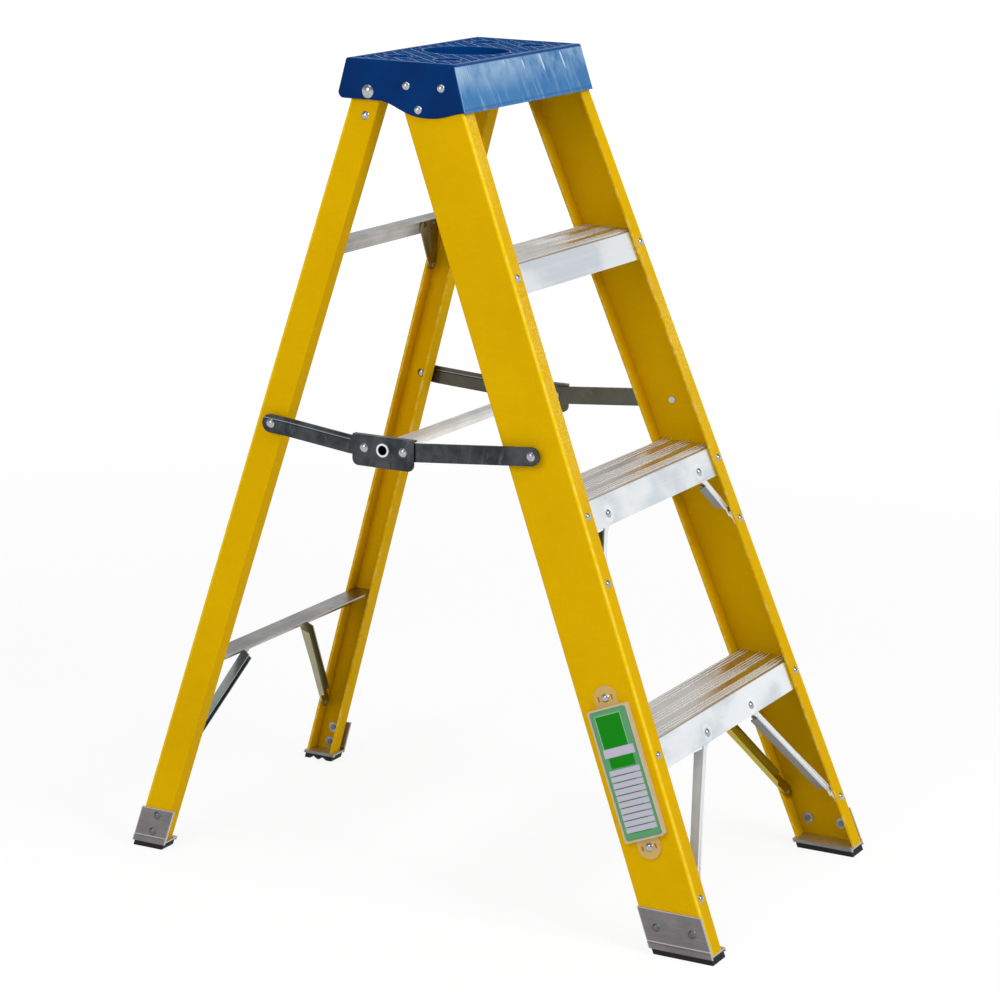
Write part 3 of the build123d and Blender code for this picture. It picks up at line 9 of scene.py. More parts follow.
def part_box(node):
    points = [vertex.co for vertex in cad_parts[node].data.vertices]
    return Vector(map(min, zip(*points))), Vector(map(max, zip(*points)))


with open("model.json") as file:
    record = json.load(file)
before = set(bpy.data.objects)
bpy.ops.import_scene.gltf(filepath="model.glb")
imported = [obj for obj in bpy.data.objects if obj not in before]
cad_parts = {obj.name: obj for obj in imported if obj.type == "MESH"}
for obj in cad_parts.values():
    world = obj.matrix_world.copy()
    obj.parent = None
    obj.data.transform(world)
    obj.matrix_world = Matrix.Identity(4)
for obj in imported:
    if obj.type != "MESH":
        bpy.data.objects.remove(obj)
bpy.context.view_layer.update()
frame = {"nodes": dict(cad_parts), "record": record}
scene = bpy.context.scene
collection = bpy.context.collection


class Rail:
    """The lines of a pair of rails, in metres, which the looks of most pieces follow."""

    def __init__(self, node, facing, lean, splay, width, flange):
        low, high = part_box(node)
        self.facing = facing
        self.lean = math.radians(lean)
        self.run = -facing * math.tan(self.lean)
        self.taper = math.tan(math.radians(splay))
        self.start = (high.y if facing > 0 else low.y) - self.run * low.z
        self.half = self.taper * low.z - low.x
        self.depth = width / math.cos(self.lean)
        self.flange = flange

    def behind(self, g):
        """How far a point lies behind the outer flange's face, level with the floor."""
        return (g.y - g.z * self.run - self.start) * -self.facing

    def beside(self, g):
        """How far a point lies inside the web's outer face."""
        return self.half - g.z * self.taper - abs(g.x)


FRONT = Rail("front_rail_left", facing=-1, lean=22.0, splay=4.1, width=0.0825, flange=0.027)
REAR = Rail("rear_rail_left", facing=1, lean=16.0, splay=3.65, width=0.0415, flange=0.026)
RAIL_WALL = 0.0040

# Heights and places read from the frame
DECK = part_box("top_cap")[1].z
STEP_TOPS = [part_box(step)[1].z for step in ("bottom_step", "middle_step", "top_step")]
FRONT_SHOE_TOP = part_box("front_shoe_left")[1].z
REAR_SHOE_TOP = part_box("rear_shoe_left")[1].z
TUBE_CENTRE = sum(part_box("spreader_tube"), Vector()) / 2

# Where a look fades out and where it is full, as distances from a face or a line
ON_FACE = (0.0010, 0.0003)
THIN_LINE = (0.0009, 0.0003)
CUT_EDGE = (0.0016, 0.0006)


class Field:
    """A value in a shader tree that takes part in sums."""

    def __init__(self, tree, socket):
        self.tree = tree
        self.socket = socket

    def __add__(self, other):
        return self.tree.math("ADD", self, other)

    def __sub__(self, other):
        return self.tree.math("SUBTRACT", self, other)

    def __rsub__(self, other):
        return self.tree.math("SUBTRACT", other, self)

    def __mul__(self, other):
        return self.tree.math("MULTIPLY", self, other)

    def __truediv__(self, other):
        return self.tree.math("DIVIDE", self, other)

    def __abs__(self):
        return self.tree.math("ABSOLUTE", self)


class Tree:
    """The shader tree of a material or a world."""

    def __init__(self, owner):
        owner.use_nodes = True
        self.nodes = owner.node_tree.nodes
        self.links = owner.node_tree.links

    def feed(self, socket, value):
        """Link a field, or set a plain value."""
        if isinstance(value, Field):
            self.links.new(value.socket, socket)
        else:
            socket.default_value = value

    def node(self, kind, *values, **settings):
        """Add a node with its settings, and feed its first inputs."""
        node = self.nodes.new("ShaderNode" + kind)
        for key, value in settings.items():
            setattr(node, key, value)
        for socket, value in zip(node.inputs, values):
            self.feed(socket, value)
        return node

    def field(self, kind, *values, output=0, **settings):
        """Add a node and give one of its outputs."""
        return Field(self, self.node(kind, *values, **settings).outputs[output])

    def math(self, operation, *values):
        return self.field("Math", *values, operation=operation)

    def vector(self, x, y, z):
        return self.field("CombineXYZ", x, y, z)

    def ease(self, value, start, end, low=0.0, high=1.0):
        """A smooth step from low at start to high at end."""
        return self.field("MapRange", value, start, end, low, high, interpolation_type="SMOOTHSTEP")

    def band(self, value, middle, edge, core, high=1.0):
        """A line along the middle: high within the core's half width, nothing from the edge's on."""
        return self.ease(abs(value - middle), edge, core, high=high)

    def mottle(self, noise, low=0.0, high=1.0):
        """A noise spread over its usual range."""
        return self.ease(noise, 0.3, 0.7, low, high)

    def away(self, first, second):
        """The length of two sides at right angles."""
        return self.math("SQRT", first * first + second * second)


class Paint(Tree):
    """One procedural material with a principled shader, in the ladder's own coordinates."""

    def __init__(self, name, **sockets):
        self.material = bpy.data.materials.new(name)
        super().__init__(self.material)
        self.shader = self.nodes["Principled BSDF"]
        for key, value in sockets.items():
            self.shader.inputs[key.replace("_", " ")].default_value = value
        self.place = self.field("TexCoord", output="Object")
        parts = self.node("SeparateXYZ", self.place)
        self.x, self.y, self.z = (Field(self, out) for out in parts.outputs)

    def upward(self):
        """How far the surface faces up, from -1 to 1."""
        return self.field("SeparateXYZ", self.field("TexCoord", output="Normal"), output="Z")

    def noise(self, scale, detail=3.0, rough=0.5, where=None, bend=0.0):
        """Smooth noise, at the ladder's own coordinates or at others."""
        node = self.node("TexNoise", where or self.place)
        node.inputs["Scale"].default_value = scale
        node.inputs["Detail"].default_value = detail
        node.inputs["Roughness"].default_value = rough
        node.inputs["Distortion"].default_value = bend
        return Field(self, node.outputs[0])

    def cells(self, scale):
        """Flat cells, each with a value of its own."""
        node = self.node("TexVoronoi", self.place)
        node.inputs["Scale"].default_value = scale
        return self.field("SeparateColor", Field(self, node.outputs["Color"]))

    def mix(self, share, first, second):
        """A colour between two."""
        node = self.node("Mix", share, data_type="RGBA")
        for socket, value in ((node.inputs[6], first), (node.inputs[7], second)):
            self.feed(socket, value if isinstance(value, Field) else (*value, 1.0))
        return Field(self, node.outputs[2])

    def bump(self, height, depth):
        """A surface normal that follows a height."""
        node = self.node("Bump")
        self.feed(node.inputs["Distance"], depth)
        self.feed(node.inputs["Height"], height)
        return Field(self, node.outputs[0])

    def finish(self, colour, rough, normal=None, metal=None):
        """Link the fields that vary over the surface and give the material."""
        for key, value in (("Base Color", colour), ("Roughness", rough), ("Normal", normal),
                           ("Metallic", metal)):
            if value is not None:
                self.feed(self.shader.inputs[key], value)
        return self.material


# Yellow glass fibre of the rails
FIBRE_DEEP = (0.72, 0.415, 0.0)
FIBRE_LIGHT = (0.78, 0.455, 0.0)
FIBRE_GRAIN = (0.58, 0.325, 0.0)
FIBRE_WEAVE = (0.84, 0.51, 0.004)
FIBRE_BLOOM = (0.95, 0.77, 0.17)
FIBRE_EDGE_HIGHLIGHT = (0.93, 0.64, 0.010)
FIBRE_WORN_AND_HIGHLIGHT = (0.95, 0.80, 0.32)
FIBRE_HOLLOW_SHADE = (0.38, 0.205, 0.0)
PLASTIC_IOR = 1.5
BLOOM_START = 0.42
BLOOM_FULL = 0.66
SEAM_PLACE = 0.0052
HOLLOW_FACE = 0.0045
HOLLOW_TOP = 0.55
HOLLOW_FOOT = 0.05


def rail_material(name, rail, speckle):
    """Fine grain, pale fibres high on the outer flange, painted highlights on the corners and along the
    toe lines, pale wear on the corner ridge and seam, and painted shade inside the channel.
    """
    g = Paint(name, IOR=PLASTIC_IOR, Specular_IOR_Level=0.015)
    web = rail.beside(g)
    outer = rail.behind(g)
    inner = rail.depth - outer
    grain = g.noise(620.0, 2.0, 0.6)
    cloud = g.noise(6.0, 4.0, 0.55)
    weave = g.noise(210.0, 3.0, 0.55, where=g.vector(g.x, g.y * 0.2, g.z))
    patch = g.noise(4.5, 3.0, 0.6)
    fibre = g.noise(430.0, 3.0, 0.7)
    chip = g.noise(75.0, 4.0, 0.7)
    base = g.mix(g.mottle(cloud), FIBRE_DEEP, FIBRE_LIGHT)
    base = g.mix(g.ease(grain, 0.38, 0.68, high=0.26), base, FIBRE_GRAIN)
    base = g.mix(g.ease(weave, 0.45, 0.75, high=0.18), base, FIBRE_WEAVE)
    bloom = g.ease(outer, *ON_FACE) * g.ease(patch, 0.40, 0.60) * g.ease(fibre, 0.46, 0.62)
    base = g.mix(bloom * g.ease(g.z, BLOOM_START, BLOOM_FULL) * speckle, base, FIBRE_BLOOM)
    # Painted highlight along the outer corner of the web and the outer flange
    edge_highlight = g.ease(web + outer, 0.0052, 0.0022)
    base = g.mix(edge_highlight * 0.7, base, FIBRE_EDGE_HIGHLIGHT)
    ridge = g.band(web, outer, *ON_FACE) * g.ease(web, 0.0030, 0.0022)
    toe = g.ease(web, rail.flange - 0.0012, rail.flange - 0.0004)
    seam = g.band(inner, SEAM_PLACE, 0.0008, 0.0003) * g.ease(web, 0.0036, 0.0042) * speckle
    # Pale wear on the corner ridge and seam, and a painted highlight along the flange toes
    wear_and_highlight = ridge * g.ease(chip, 0.42, 0.58, high=0.75) + toe * g.ease(chip, 0.46, 0.64, high=0.30)
    wear_and_highlight = wear_and_highlight + seam * g.ease(g.noise(160.0, 2.0, 0.5), 0.52, 0.60, high=0.35)
    base = g.mix(g.math("MINIMUM", wear_and_highlight, 1.0), base, FIBRE_WORN_AND_HIGHLIGHT)
    # Painted shade on the web's inner face inside the channel, deepest near the foot
    hollow_shade = g.band(web, HOLLOW_FACE, 0.0015, 0.0009)
    for flange in (outer, inner):
        hollow_shade = hollow_shade * g.ease(flange, RAIL_WALL - 0.0010, RAIL_WALL)
    base = g.mix(hollow_shade * g.ease(g.z, HOLLOW_TOP, HOLLOW_FOOT, high=0.55), base, FIBRE_HOLLOW_SHADE)
    return g.finish(base, g.mottle(cloud, 0.46, 0.58), g.bump(grain * 0.6 + fibre * 0.4, 0.00008))


# Blue moulded plastic of the cap
CAP_NAVY = (0.0, 0.024, 0.125)
CAP_NAVY_LIGHT = (0.0, 0.034, 0.165)
CAP_SCUFF_AND_SHEEN = (0.054, 0.212, 0.470)
CAP_PALE_SCUFF_AND_SHEEN = (0.34, 0.49, 0.66)
CAP_STREAK = (0.30, 0.46, 0.65)
CAP_FLUTE_HIGHLIGHT = (0.34, 0.50, 0.68)
CAP_HEM_SHADE = (0.020, 0.11, 0.31)
CAP_EDGE_HIGHLIGHT = (0.28, 0.34, 0.62)
CAP_FLECK = (0.05, 0.14, 0.30)
GASH_PALE = (0.72, 0.80, 0.87)
GASH_SHADE = (0.030, 0.14, 0.36)
DECK_LIT_BLUE = (0.002, 0.070, 0.275)
DECK_FLOOR_SHADE = (0.0, 0.036, 0.175)
DECK_RIB_HIGHLIGHT = (0.050, 0.245, 0.540)
CAP_LEAD = 0.0105
CAP_LENGTH = 0.160
CAP_WALL = 0.0035
CAP_FLARE = math.tan(math.radians(16.9))
CAP_FRONT = FRONT.start + FRONT.run * DECK - CAP_LEAD
CAP_RIM = (0.0078, 0.0090)
HEM_DROP = 0.056
FLUTE_RATE = 1150.0
GASH_SLANT = 0.25
# Scrapes on the front: place along the cap, upper and lower end below the deck, half width
CAP_GASHES = (
    (-0.051, 0.004, 0.012, 0.0030),
    (-0.001, 0.006, 0.022, 0.0022),
    (0.051, 0.003, 0.029, 0.0028),
    (0.110, 0.004, 0.030, 0.0026),
)


def add_gashes(g, base, drop, front):
    """Slanted pale scrapes on the cap's front, each with a shaded side."""
    for middle, top, low, width in CAP_GASHES:
        shift = g.x - middle - (drop - top) * GASH_SLANT
        gash = g.band(shift, 0.0, width, width * 0.25) * g.ease(drop, top - 0.001, top + 0.003)
        gash = gash * g.ease(drop, low, low - 0.010) * front
        base = g.mix(gash * 0.85, base, GASH_PALE)
        shade = g.band(shift, 1.6 * width, width, width * 0.3) * g.ease(drop, low, top) * front
        base = g.mix(shade * 0.35, base, GASH_SHADE)
    return base


def add_deck(g, base, drop, beside, front):
    """A deck painted lighter as if lit from above, painted shade on the floor between the ribs, and
    painted highlights on the rib tops, inside a plain rim.
    """
    deck = g.ease(drop, 0.0140, 0.0100) * g.ease(beside, 0.0012, 0.0024)
    inside = g.ease(beside, *CAP_RIM)
    for margin in (g.y - CAP_FRONT, CAP_FRONT + CAP_LENGTH - g.y):
        inside = inside * g.ease(margin, *CAP_RIM)
    # Painted light: the deck lighter than the sides, as if lit from above
    base = g.mix(deck * (1.0 - front) * 0.85, base, DECK_LIT_BLUE)
    # Painted shade on the floor between the ribs
    base = g.mix(inside * g.ease(drop, 0.0016, 0.0022) * deck * 0.6, base, DECK_FLOOR_SHADE)
    # Painted highlights on the rib tops
    rib = inside * g.ease(drop, 0.0008, 0.0003)
    return g.mix(rib * g.ease(g.noise(95.0, 3.0, 0.6), 0.36, 0.56, 0.25, 0.95), base, DECK_RIB_HIGHLIGHT)


def cap_material():
    """Navy sides, a front painted pale as scuffing and painted sheen, slanted scrapes, flutes drawn as
    painted highlights, a painted shade line at the hem, painted highlights on the front corners, and a
    ribbed deck.
    """
    g = Paint("cap_blue", IOR=PLASTIC_IOR, Specular_IOR_Level=0.05)
    drop = DECK - g.z
    behind = g.y - CAP_FRONT + drop * CAP_FLARE
    beside = FRONT.beside(g) + CAP_WALL
    front = g.ease(behind, 0.0030, 0.0010) * g.ease(drop, 0.0022, 0.0036)
    cloud = g.noise(16.0, 5.0, 0.6)
    fleck = g.noise(260.0, 4.0, 0.7)
    haze = g.noise(20.0, 6.0, 0.62, where=g.vector(g.x, g.y, g.z * 0.7))
    streak = g.noise(85.0, 5.0, 0.7, where=g.vector(g.x + g.z * 0.22, 0.0, g.z * 0.14))
    base = g.mix(g.mottle(cloud), CAP_NAVY, CAP_NAVY_LIGHT)
    # Painted sheen and scuffing: the front lighter than the sides, paler still near the top
    base = g.mix(front * g.ease(haze, 0.25, 0.75, 0.72, 1.0), base, CAP_SCUFF_AND_SHEEN)
    upper = g.ease(drop, 0.046, 0.006) * g.ease(haze, 0.34, 0.66)
    base = g.mix(front * upper * 0.9, base, CAP_PALE_SCUFF_AND_SHEEN)
    base = g.mix(front * g.ease(streak, 0.50, 0.72, high=0.55), base, CAP_STREAK)
    base = add_gashes(g, base, drop, front)
    # Flutes near both ends, drawn as painted highlight lines over a bump
    ends = g.ease(beside, 0.062, 0.030) * g.ease(g.x, 0.0, -0.010) + g.ease(beside, 0.040, 0.012) * 0.6
    flute = g.math("SINE", g.x * FLUTE_RATE) * front * ends * g.ease(drop, 0.040, 0.004)
    base = g.mix(g.ease(flute, 0.1, 0.9, high=0.55), base, CAP_FLUTE_HIGHLIGHT)
    # Painted shade line along the hem
    base = g.mix(front * g.band(drop, HEM_DROP, 0.0018, 0.0008) * 0.45, base, CAP_HEM_SHADE)
    # Painted highlight along the corners between the front and the sides
    edge_highlight = g.band(behind, beside, 0.0011, 0.0003) * g.ease(behind, 0.0034, 0.0020)
    base = g.mix(edge_highlight * g.ease(drop, 0.004, 0.007) * 0.7, base, CAP_EDGE_HIGHLIGHT)
    base = add_deck(g, base, drop, beside, front)
    base = g.mix(g.ease(fleck, 0.68, 0.80, high=0.25), base, CAP_FLECK)
    rough = g.mottle(cloud, 0.28, 0.38) + front * 0.08
    return g.finish(base, rough, g.bump(flute * 0.5 + fleck * 0.15 + streak * front * 0.4, 0.0003))


# Aluminium of the treads, the rear bars and the tube
MILL_GREY = (0.610, 0.655, 0.690)
MILL_PALE = (0.745, 0.765, 0.775)
MILL_LINE = (0.80, 0.81, 0.82)
TREAD_LAND_REFLECTION = (0.74, 0.705, 0.655)
TREAD_RIB_WEAR_AND_HIGHLIGHT = (0.90, 0.90, 0.90)
TREAD_RING = (0.86, 0.86, 0.85)
BAR_BROWN = (0.30, 0.285, 0.265)
BAR_GREY = (0.43, 0.42, 0.405)
BAR_LINE = (0.56, 0.55, 0.54)
TUBE_GREY = (0.78, 0.79, 0.78)
TUBE_PALE = (0.88, 0.89, 0.88)
TUBE_BORE_SHADE = (0.02, 0.02, 0.02)
TUBE_BORE = 0.006
RING_RADIUS = 0.0095
# Rivets in the skirts of the lower two treads: place to each side, height
SKIRT_RIVETS = ((0.071, 0.2415), (0.140, 0.5335))
# What is left of x where a noise is drawn out along the ladder's width
DRAWN = 0.004


def tread_material():
    """Pale ribs, from wear and a painted highlight, on lands tinted tan as a painted reflection of the
    rails, with pale smears and rings around the skirts' rivets.
    """
    g = Paint("tread_aluminium")
    smear = g.noise(9.0, 5.0, 0.5, where=g.vector(g.x, g.y * 1.6, g.z * 1.6), bend=0.4)
    lines = g.noise(300.0, 3.0, 0.5, where=g.vector(g.x * DRAWN, g.y, g.z))
    colour = g.mix(g.ease(smear, 0.40, 0.58), MILL_GREY, MILL_PALE)
    colour = g.mix(g.ease(lines, 0.45, 0.70, high=0.22), colour, MILL_LINE)
    rise = abs(g.z - STEP_TOPS[0])
    for top in STEP_TOPS[1:]:
        rise = g.math("MINIMUM", rise, abs(g.z - top))
    rib = g.ease(rise, 0.0006, 0.0003)
    land = g.ease(rise, 0.0019, 0.0016) * (1.0 - rib)
    # Painted reflection of the yellow rails, tinting the lands tan
    colour = g.mix(land * g.mottle(lines, 0.8, 1.0), colour, TREAD_LAND_REFLECTION)
    # Rib tops pale from wear and a painted highlight
    colour = g.mix(rib, colour, TREAD_RIB_WEAR_AND_HIGHLIGHT)
    for sideways, height in SKIRT_RIVETS:
        away = g.away(abs(g.x) - sideways, (g.z - height) / math.cos(FRONT.lean))
        ring = g.band(away, RING_RADIUS, 0.0030, 0.0012) * (1.0 - land)
        colour = g.mix(ring * 0.5, colour, TREAD_RING)
    rough = g.ease(smear, 0.34, 0.66, 0.38, 0.27) - land * 0.06
    return g.finish(colour, rough, metal=1.0 - rib * 0.6)


def bar_material():
    """Dull and brownish, with long fine lines."""
    g = Paint("bar_aluminium", Metallic=1.0)
    lines = g.noise(420.0, 3.0, 0.55, where=g.vector(g.x * DRAWN, g.y, g.z))
    smear = g.noise(12.0, 4.0, 0.6)
    colour = g.mix(g.ease(smear, 0.34, 0.66), BAR_BROWN, BAR_GREY)
    colour = g.mix(g.ease(lines, 0.42, 0.68, high=0.35), colour, BAR_LINE)
    return g.finish(colour, g.mottle(smear, 0.36, 0.26), g.bump(lines, 0.00002))


def tube_material():
    """Bright and drawn, with faint patches of wear and painted shade in the bore."""
    g = Paint("tube_aluminium", Metallic=0.6)
    lines = g.noise(500.0, 3.0, 0.6, where=g.vector(g.x * 0.02, g.y, g.z))
    wear = g.noise(30.0, 4.0, 0.6)
    colour = g.mix(g.ease(wear, 0.35, 0.68), TUBE_GREY, TUBE_PALE)
    away = g.away(g.y - TUBE_CENTRE.y, g.z - TUBE_CENTRE.z)
    # Painted shade in the bore
    colour = g.mix(g.ease(away, TUBE_BORE + 0.0008, TUBE_BORE + 0.0002), colour, TUBE_BORE_SHADE)
    return g.finish(colour, g.mottle(wear, 0.40, 0.30), g.bump(lines, 0.00003))


# Aluminium of the shoes
SHOE_DARK = (0.185, 0.168, 0.173)
SHOE_LILAC = (0.230, 0.211, 0.217)
SHOE_LINE = (0.30, 0.28, 0.285)
SHOE_SHADE = (0.09, 0.085, 0.085)
SHOE_HIGHLIGHT = (0.80, 0.79, 0.78)
SHOE_UPWARD_LIGHT = (0.66, 0.64, 0.60)
SHADE_HEIGHT = 0.0152
CREASE_HEIGHT = 0.0168
REAR_SHOE_OVERHANG = 0.0025
REAR_SHOE_LEAD = 0.0065


def shoe_material(name, rail, top, overhang=0.0, lead=0.0):
    """Dull lilac-grey with fine lines, painted highlights on the cut edges and the crease, a painted shade
    below the crease, and painted light on upward faces.
    """
    g = Paint(name, Metallic=1.0)
    outer = rail.behind(g) + overhang
    inner = rail.depth + overhang + lead - outer
    rim = g.ease(outer, *CUT_EDGE) + g.ease(inner, *CUT_EDGE)
    rim = rim + g.ease(g.z, top - 0.0014, top - 0.0006)
    grime = g.noise(24.0, 5.0, 0.6)
    lines = g.noise(520.0, 3.0, 0.6, where=g.vector(g.x, g.y * 0.06, g.z))
    colour = g.mix(g.ease(grime, 0.32, 0.68), SHOE_DARK, SHOE_LILAC)
    colour = g.mix(g.ease(lines, 0.45, 0.72, high=0.35), colour, SHOE_LINE)
    colour = g.mix(g.band(g.z, SHADE_HEIGHT, 0.0011, 0.0004, high=0.45), colour, SHOE_SHADE)
    # Painted highlights along the crease and, on the next line, the cut edges
    colour = g.mix(g.band(g.z, CREASE_HEIGHT, *THIN_LINE, high=0.55), colour, SHOE_HIGHLIGHT)
    colour = g.mix(g.math("MINIMUM", rim, 1.0) * 0.5, colour, SHOE_HIGHLIGHT)
    # Painted light on faces that look up, such as the shoe's floor
    colour = g.mix(g.ease(g.upward(), 0.7, 0.9), colour, SHOE_UPWARD_LIGHT)
    return g.finish(colour, g.mottle(grime, 0.50, 0.40), g.bump(lines, 0.00006))


# Plated steel of the braces, gussets and hinge plates
ZINC_FACE_LIGHT = (0.76, 0.78, 0.78)
ZINC_GRIT = (0.85, 0.86, 0.86)
ZINC_FLAKE = (0.38, 0.39, 0.38)
FACE_DEPTH = 0.0090
NO_FACE = -1.0


def zinc_material(name, dark, pale, far, face_depth=NO_FACE, metal=1.0):
    """A faint spangle; the right-hand piece gets its own colour of painted shade and painted reflection,
    and a front brace's face is painted light.
    """
    g = Paint(name, Metallic=metal)
    bloom = g.noise(18.0, 4.0, 0.55)
    grit = g.noise(800.0, 2.0, 0.6)
    colour = g.mix(g.ease(bloom, 0.35, 0.66), dark, pale)
    # The right-hand piece's own colour: painted shade and painted reflection
    colour = g.mix(g.ease(g.x, -0.01, 0.01), colour, far)
    # Painted light on a front brace's face
    colour = g.mix(g.ease(FRONT.behind(g), face_depth + 0.0004, face_depth), colour, ZINC_FACE_LIGHT)
    colour = g.mix(g.ease(grit, 0.50, 0.72, high=0.15), colour, ZINC_GRIT)
    colour = g.mix(g.cells(420.0) * 0.08, colour, ZINC_FLAKE)
    return g.finish(colour, g.mottle(bloom, 0.36, 0.26), g.bump(grit, 0.00003))


# Dark plated steel of the spreader
ARM_DARK = (0.030, 0.032, 0.036)
ARM_GREY = (0.074, 0.081, 0.088)
ARM_RUB = (0.26, 0.275, 0.28)
ARM_GRIT = (0.050, 0.052, 0.056)
ARM_FAR_REFLECTION = (0.130, 0.122, 0.085)
CREASE_SHADE = (0.020, 0.021, 0.023)
CREASE_HIGHLIGHT = (0.36, 0.38, 0.38)
ARM_RUN = 0.0855
PLATE_PIVOT = 0.0287
ARM_START = TUBE_CENTRE.y + PLATE_PIVOT
CREASE_START = ARM_START + 0.020
CREASE_LOW = 0.0052
CREASE_HIGH = 0.0068


def spreader_material(name, creased):
    """Satin, with pale rub marks and a painted reflection on the right-hand arms; the rear arms have a
    crease along the upper third, drawn with a bump, a painted shade line and a painted highlight line.
    """
    g = Paint(name, Metallic=1.0)
    cloud = g.noise(26.0, 5.0, 0.62)
    scuff = g.noise(55.0, 6.0, 0.72, where=g.vector(g.x, g.y * 1.6, g.z * 0.5))
    grit = g.noise(700.0, 2.0, 0.6)
    colour = g.mix(g.ease(cloud, 0.32, 0.68), ARM_DARK, ARM_GREY)
    colour = g.mix(g.ease(scuff, 0.56, 0.74, high=0.40), colour, ARM_RUB)
    colour = g.mix(g.ease(grit, 0.55, 0.72, high=0.30), colour, ARM_GRIT)
    # Painted reflection of the yellow rails on the right-hand arms
    colour = g.mix(g.ease(g.x, -0.01, 0.01, high=0.6), colour, ARM_FAR_REFLECTION)
    height = grit * 0.3 + scuff * 0.3
    if creased:
        rise = g.z - TUBE_CENTRE.z - (g.y - ARM_START) * ARM_RUN
        span = g.ease(g.y, CREASE_START, CREASE_START + 0.004)
        # Painted shade line and painted highlight line along the crease
        colour = g.mix(span * g.band(rise, CREASE_LOW, *THIN_LINE), colour, CREASE_SHADE)
        colour = g.mix(span * g.band(rise, CREASE_HIGH, *THIN_LINE) * 0.7, colour, CREASE_HIGHLIGHT)
        height = height + span * g.ease(rise, 0.0050, 0.0066) * 6.0
    return g.finish(colour, g.mottle(cloud, 0.40, 0.26), g.bump(height, 0.00006))


def rivet_material(name, dark, pale, rough):
    """Plated rivets with a faint haze."""
    g = Paint(name, Metallic=1.0)
    haze = g.noise(160.0, 4.0, 0.6)
    colour = g.mix(g.ease(haze, 0.35, 0.7), dark, pale)
    return g.finish(colour, g.mottle(haze, rough, rough + 0.08), g.bump(haze, 0.00004))


# Rubber and nylon
RUBBER_BLACK = (0.008, 0.008, 0.009)
RUBBER_DUST = (0.040, 0.038, 0.036)
NYLON_DARK = (0.66, 0.64, 0.58)
NYLON_PALE = (0.78, 0.77, 0.72)


def rubber_material():
    """Black rubber with a little dust."""
    g = Paint("pad_rubber", IOR=PLASTIC_IOR, Specular_IOR_Level=0.25)
    dust = g.noise(120.0, 5.0, 0.7)
    colour = g.mix(g.ease(dust, 0.52, 0.78, high=0.5), RUBBER_BLACK, RUBBER_DUST)
    return g.finish(colour, g.mottle(dust, 0.55, 0.75), g.bump(dust, 0.0002))


def nylon_material():
    """Natural nylon."""
    g = Paint("washer_nylon", IOR=PLASTIC_IOR)
    cloud = g.noise(200.0)
    return g.finish(g.mix(cloud, NYLON_DARK, NYLON_PALE), g.mottle(cloud, 0.4, 0.55))


# Tag on the left front rail: its card and its holder
CARD_GREEN = (0.105, 0.335, 0.155)
CARD_LIGHT = (0.120, 0.365, 0.170)
CARD_PALE = (0.42, 0.58, 0.40)
CARD_DARK = (0.0, 0.235, 0.0)
CARD_WHITE = (0.56, 0.50, 0.64)
CARD_RULE = (0.0, 0.200, 0.0)
HOLDER_MILK = (0.74, 0.60, 0.42)
HOLDER_PALE = (0.80, 0.66, 0.48)
HOLDER_EAR = (0.80, 0.53, 0.165)
HOLDER_IOR = 1.46
EAR_START = 0.0868
TAG_HEIGHT = 0.228
TAG_Y = FRONT.start + FRONT.run * TAG_HEIGHT + FRONT.depth / 2
ROW_PITCH = 0.0083
ROW_START = -0.0755
# Printed areas of the card: middle up the rail and across it, half height, half width
CARD_BLOCK = (0.0565, 0.0020, 0.0213, 0.0178)
CARD_LOW_BLOCK = (0.0165, -0.0005, 0.0072, 0.0178)
CARD_BAR = (0.0295, 0.0, 0.0058, 0.0222)
CARD_TABLE = (-0.0336, 0.0, 0.0418, 0.0222)
CARD_RULES = (-0.0336, 0.0030, 0.0418, 0.0165)
CARD_MARGIN = 0.0009
CARD_FADE = 0.0003


def tag_coords(g):
    """Distances from the tag's middle, up along the rail and back across it."""
    rise = g.z - TAG_HEIGHT
    back = g.y - TAG_Y
    up = rise * math.cos(FRONT.lean) + back * math.sin(FRONT.lean)
    return up, back * math.cos(FRONT.lean) - rise * math.sin(FRONT.lean)


def panel(g, up, across, area, grow=0.0):
    """A plain printed rectangle, widened all round where it has a margin."""
    middle, aside, height, width = area
    height = height + grow
    width = width + grow
    return g.band(up, middle, height, height - CARD_FADE) * g.band(across, aside, width, width - CARD_FADE)


def card_material():
    """A green card: a block in a pale margin, a low block, a white bar and a ruled table, all blank."""
    g = Paint("card_green", IOR=PLASTIC_IOR, Specular_IOR_Level=0.15)
    up, across = tag_coords(g)
    cloud = g.noise(60.0)
    row = g.math("FRACT", (up - ROW_START) / ROW_PITCH)
    colour = g.mix(cloud, CARD_GREEN, CARD_LIGHT)
    colour = g.mix(panel(g, up, across, CARD_BLOCK, CARD_MARGIN) * 0.8, colour, CARD_PALE)
    blocks = panel(g, up, across, CARD_BLOCK) + panel(g, up, across, CARD_LOW_BLOCK)
    colour = g.mix(blocks, colour, CARD_DARK)
    rows = panel(g, up, across, CARD_TABLE) * g.ease(row, 0.16, 0.20) * g.ease(row, 1.0, 0.97)
    colour = g.mix(panel(g, up, across, CARD_BAR) + rows, colour, CARD_WHITE)
    rules = panel(g, up, across, CARD_RULES) * g.band(row, 0.10, 0.075, 0.055)
    colour = g.mix(rules, colour, CARD_RULE)
    return g.finish(colour, g.mottle(cloud, 0.30, 0.40))


def holder_material():
    """Clear plastic gone milky and warm: pale sides, peach ears."""
    g = Paint("tag_plastic", IOR=HOLDER_IOR, Transmission_Weight=0.25, Specular_IOR_Level=0.3)
    up, _ = tag_coords(g)
    cloud = g.noise(50.0)
    colour = g.mix(cloud, HOLDER_MILK, HOLDER_PALE)
    colour = g.mix(g.ease(abs(up), EAR_START, EAR_START + 0.0006), colour, HOLDER_EAR)
    return g.finish(colour, g.mottle(cloud, 0.28, 0.42), g.bump(cloud, 0.0002))


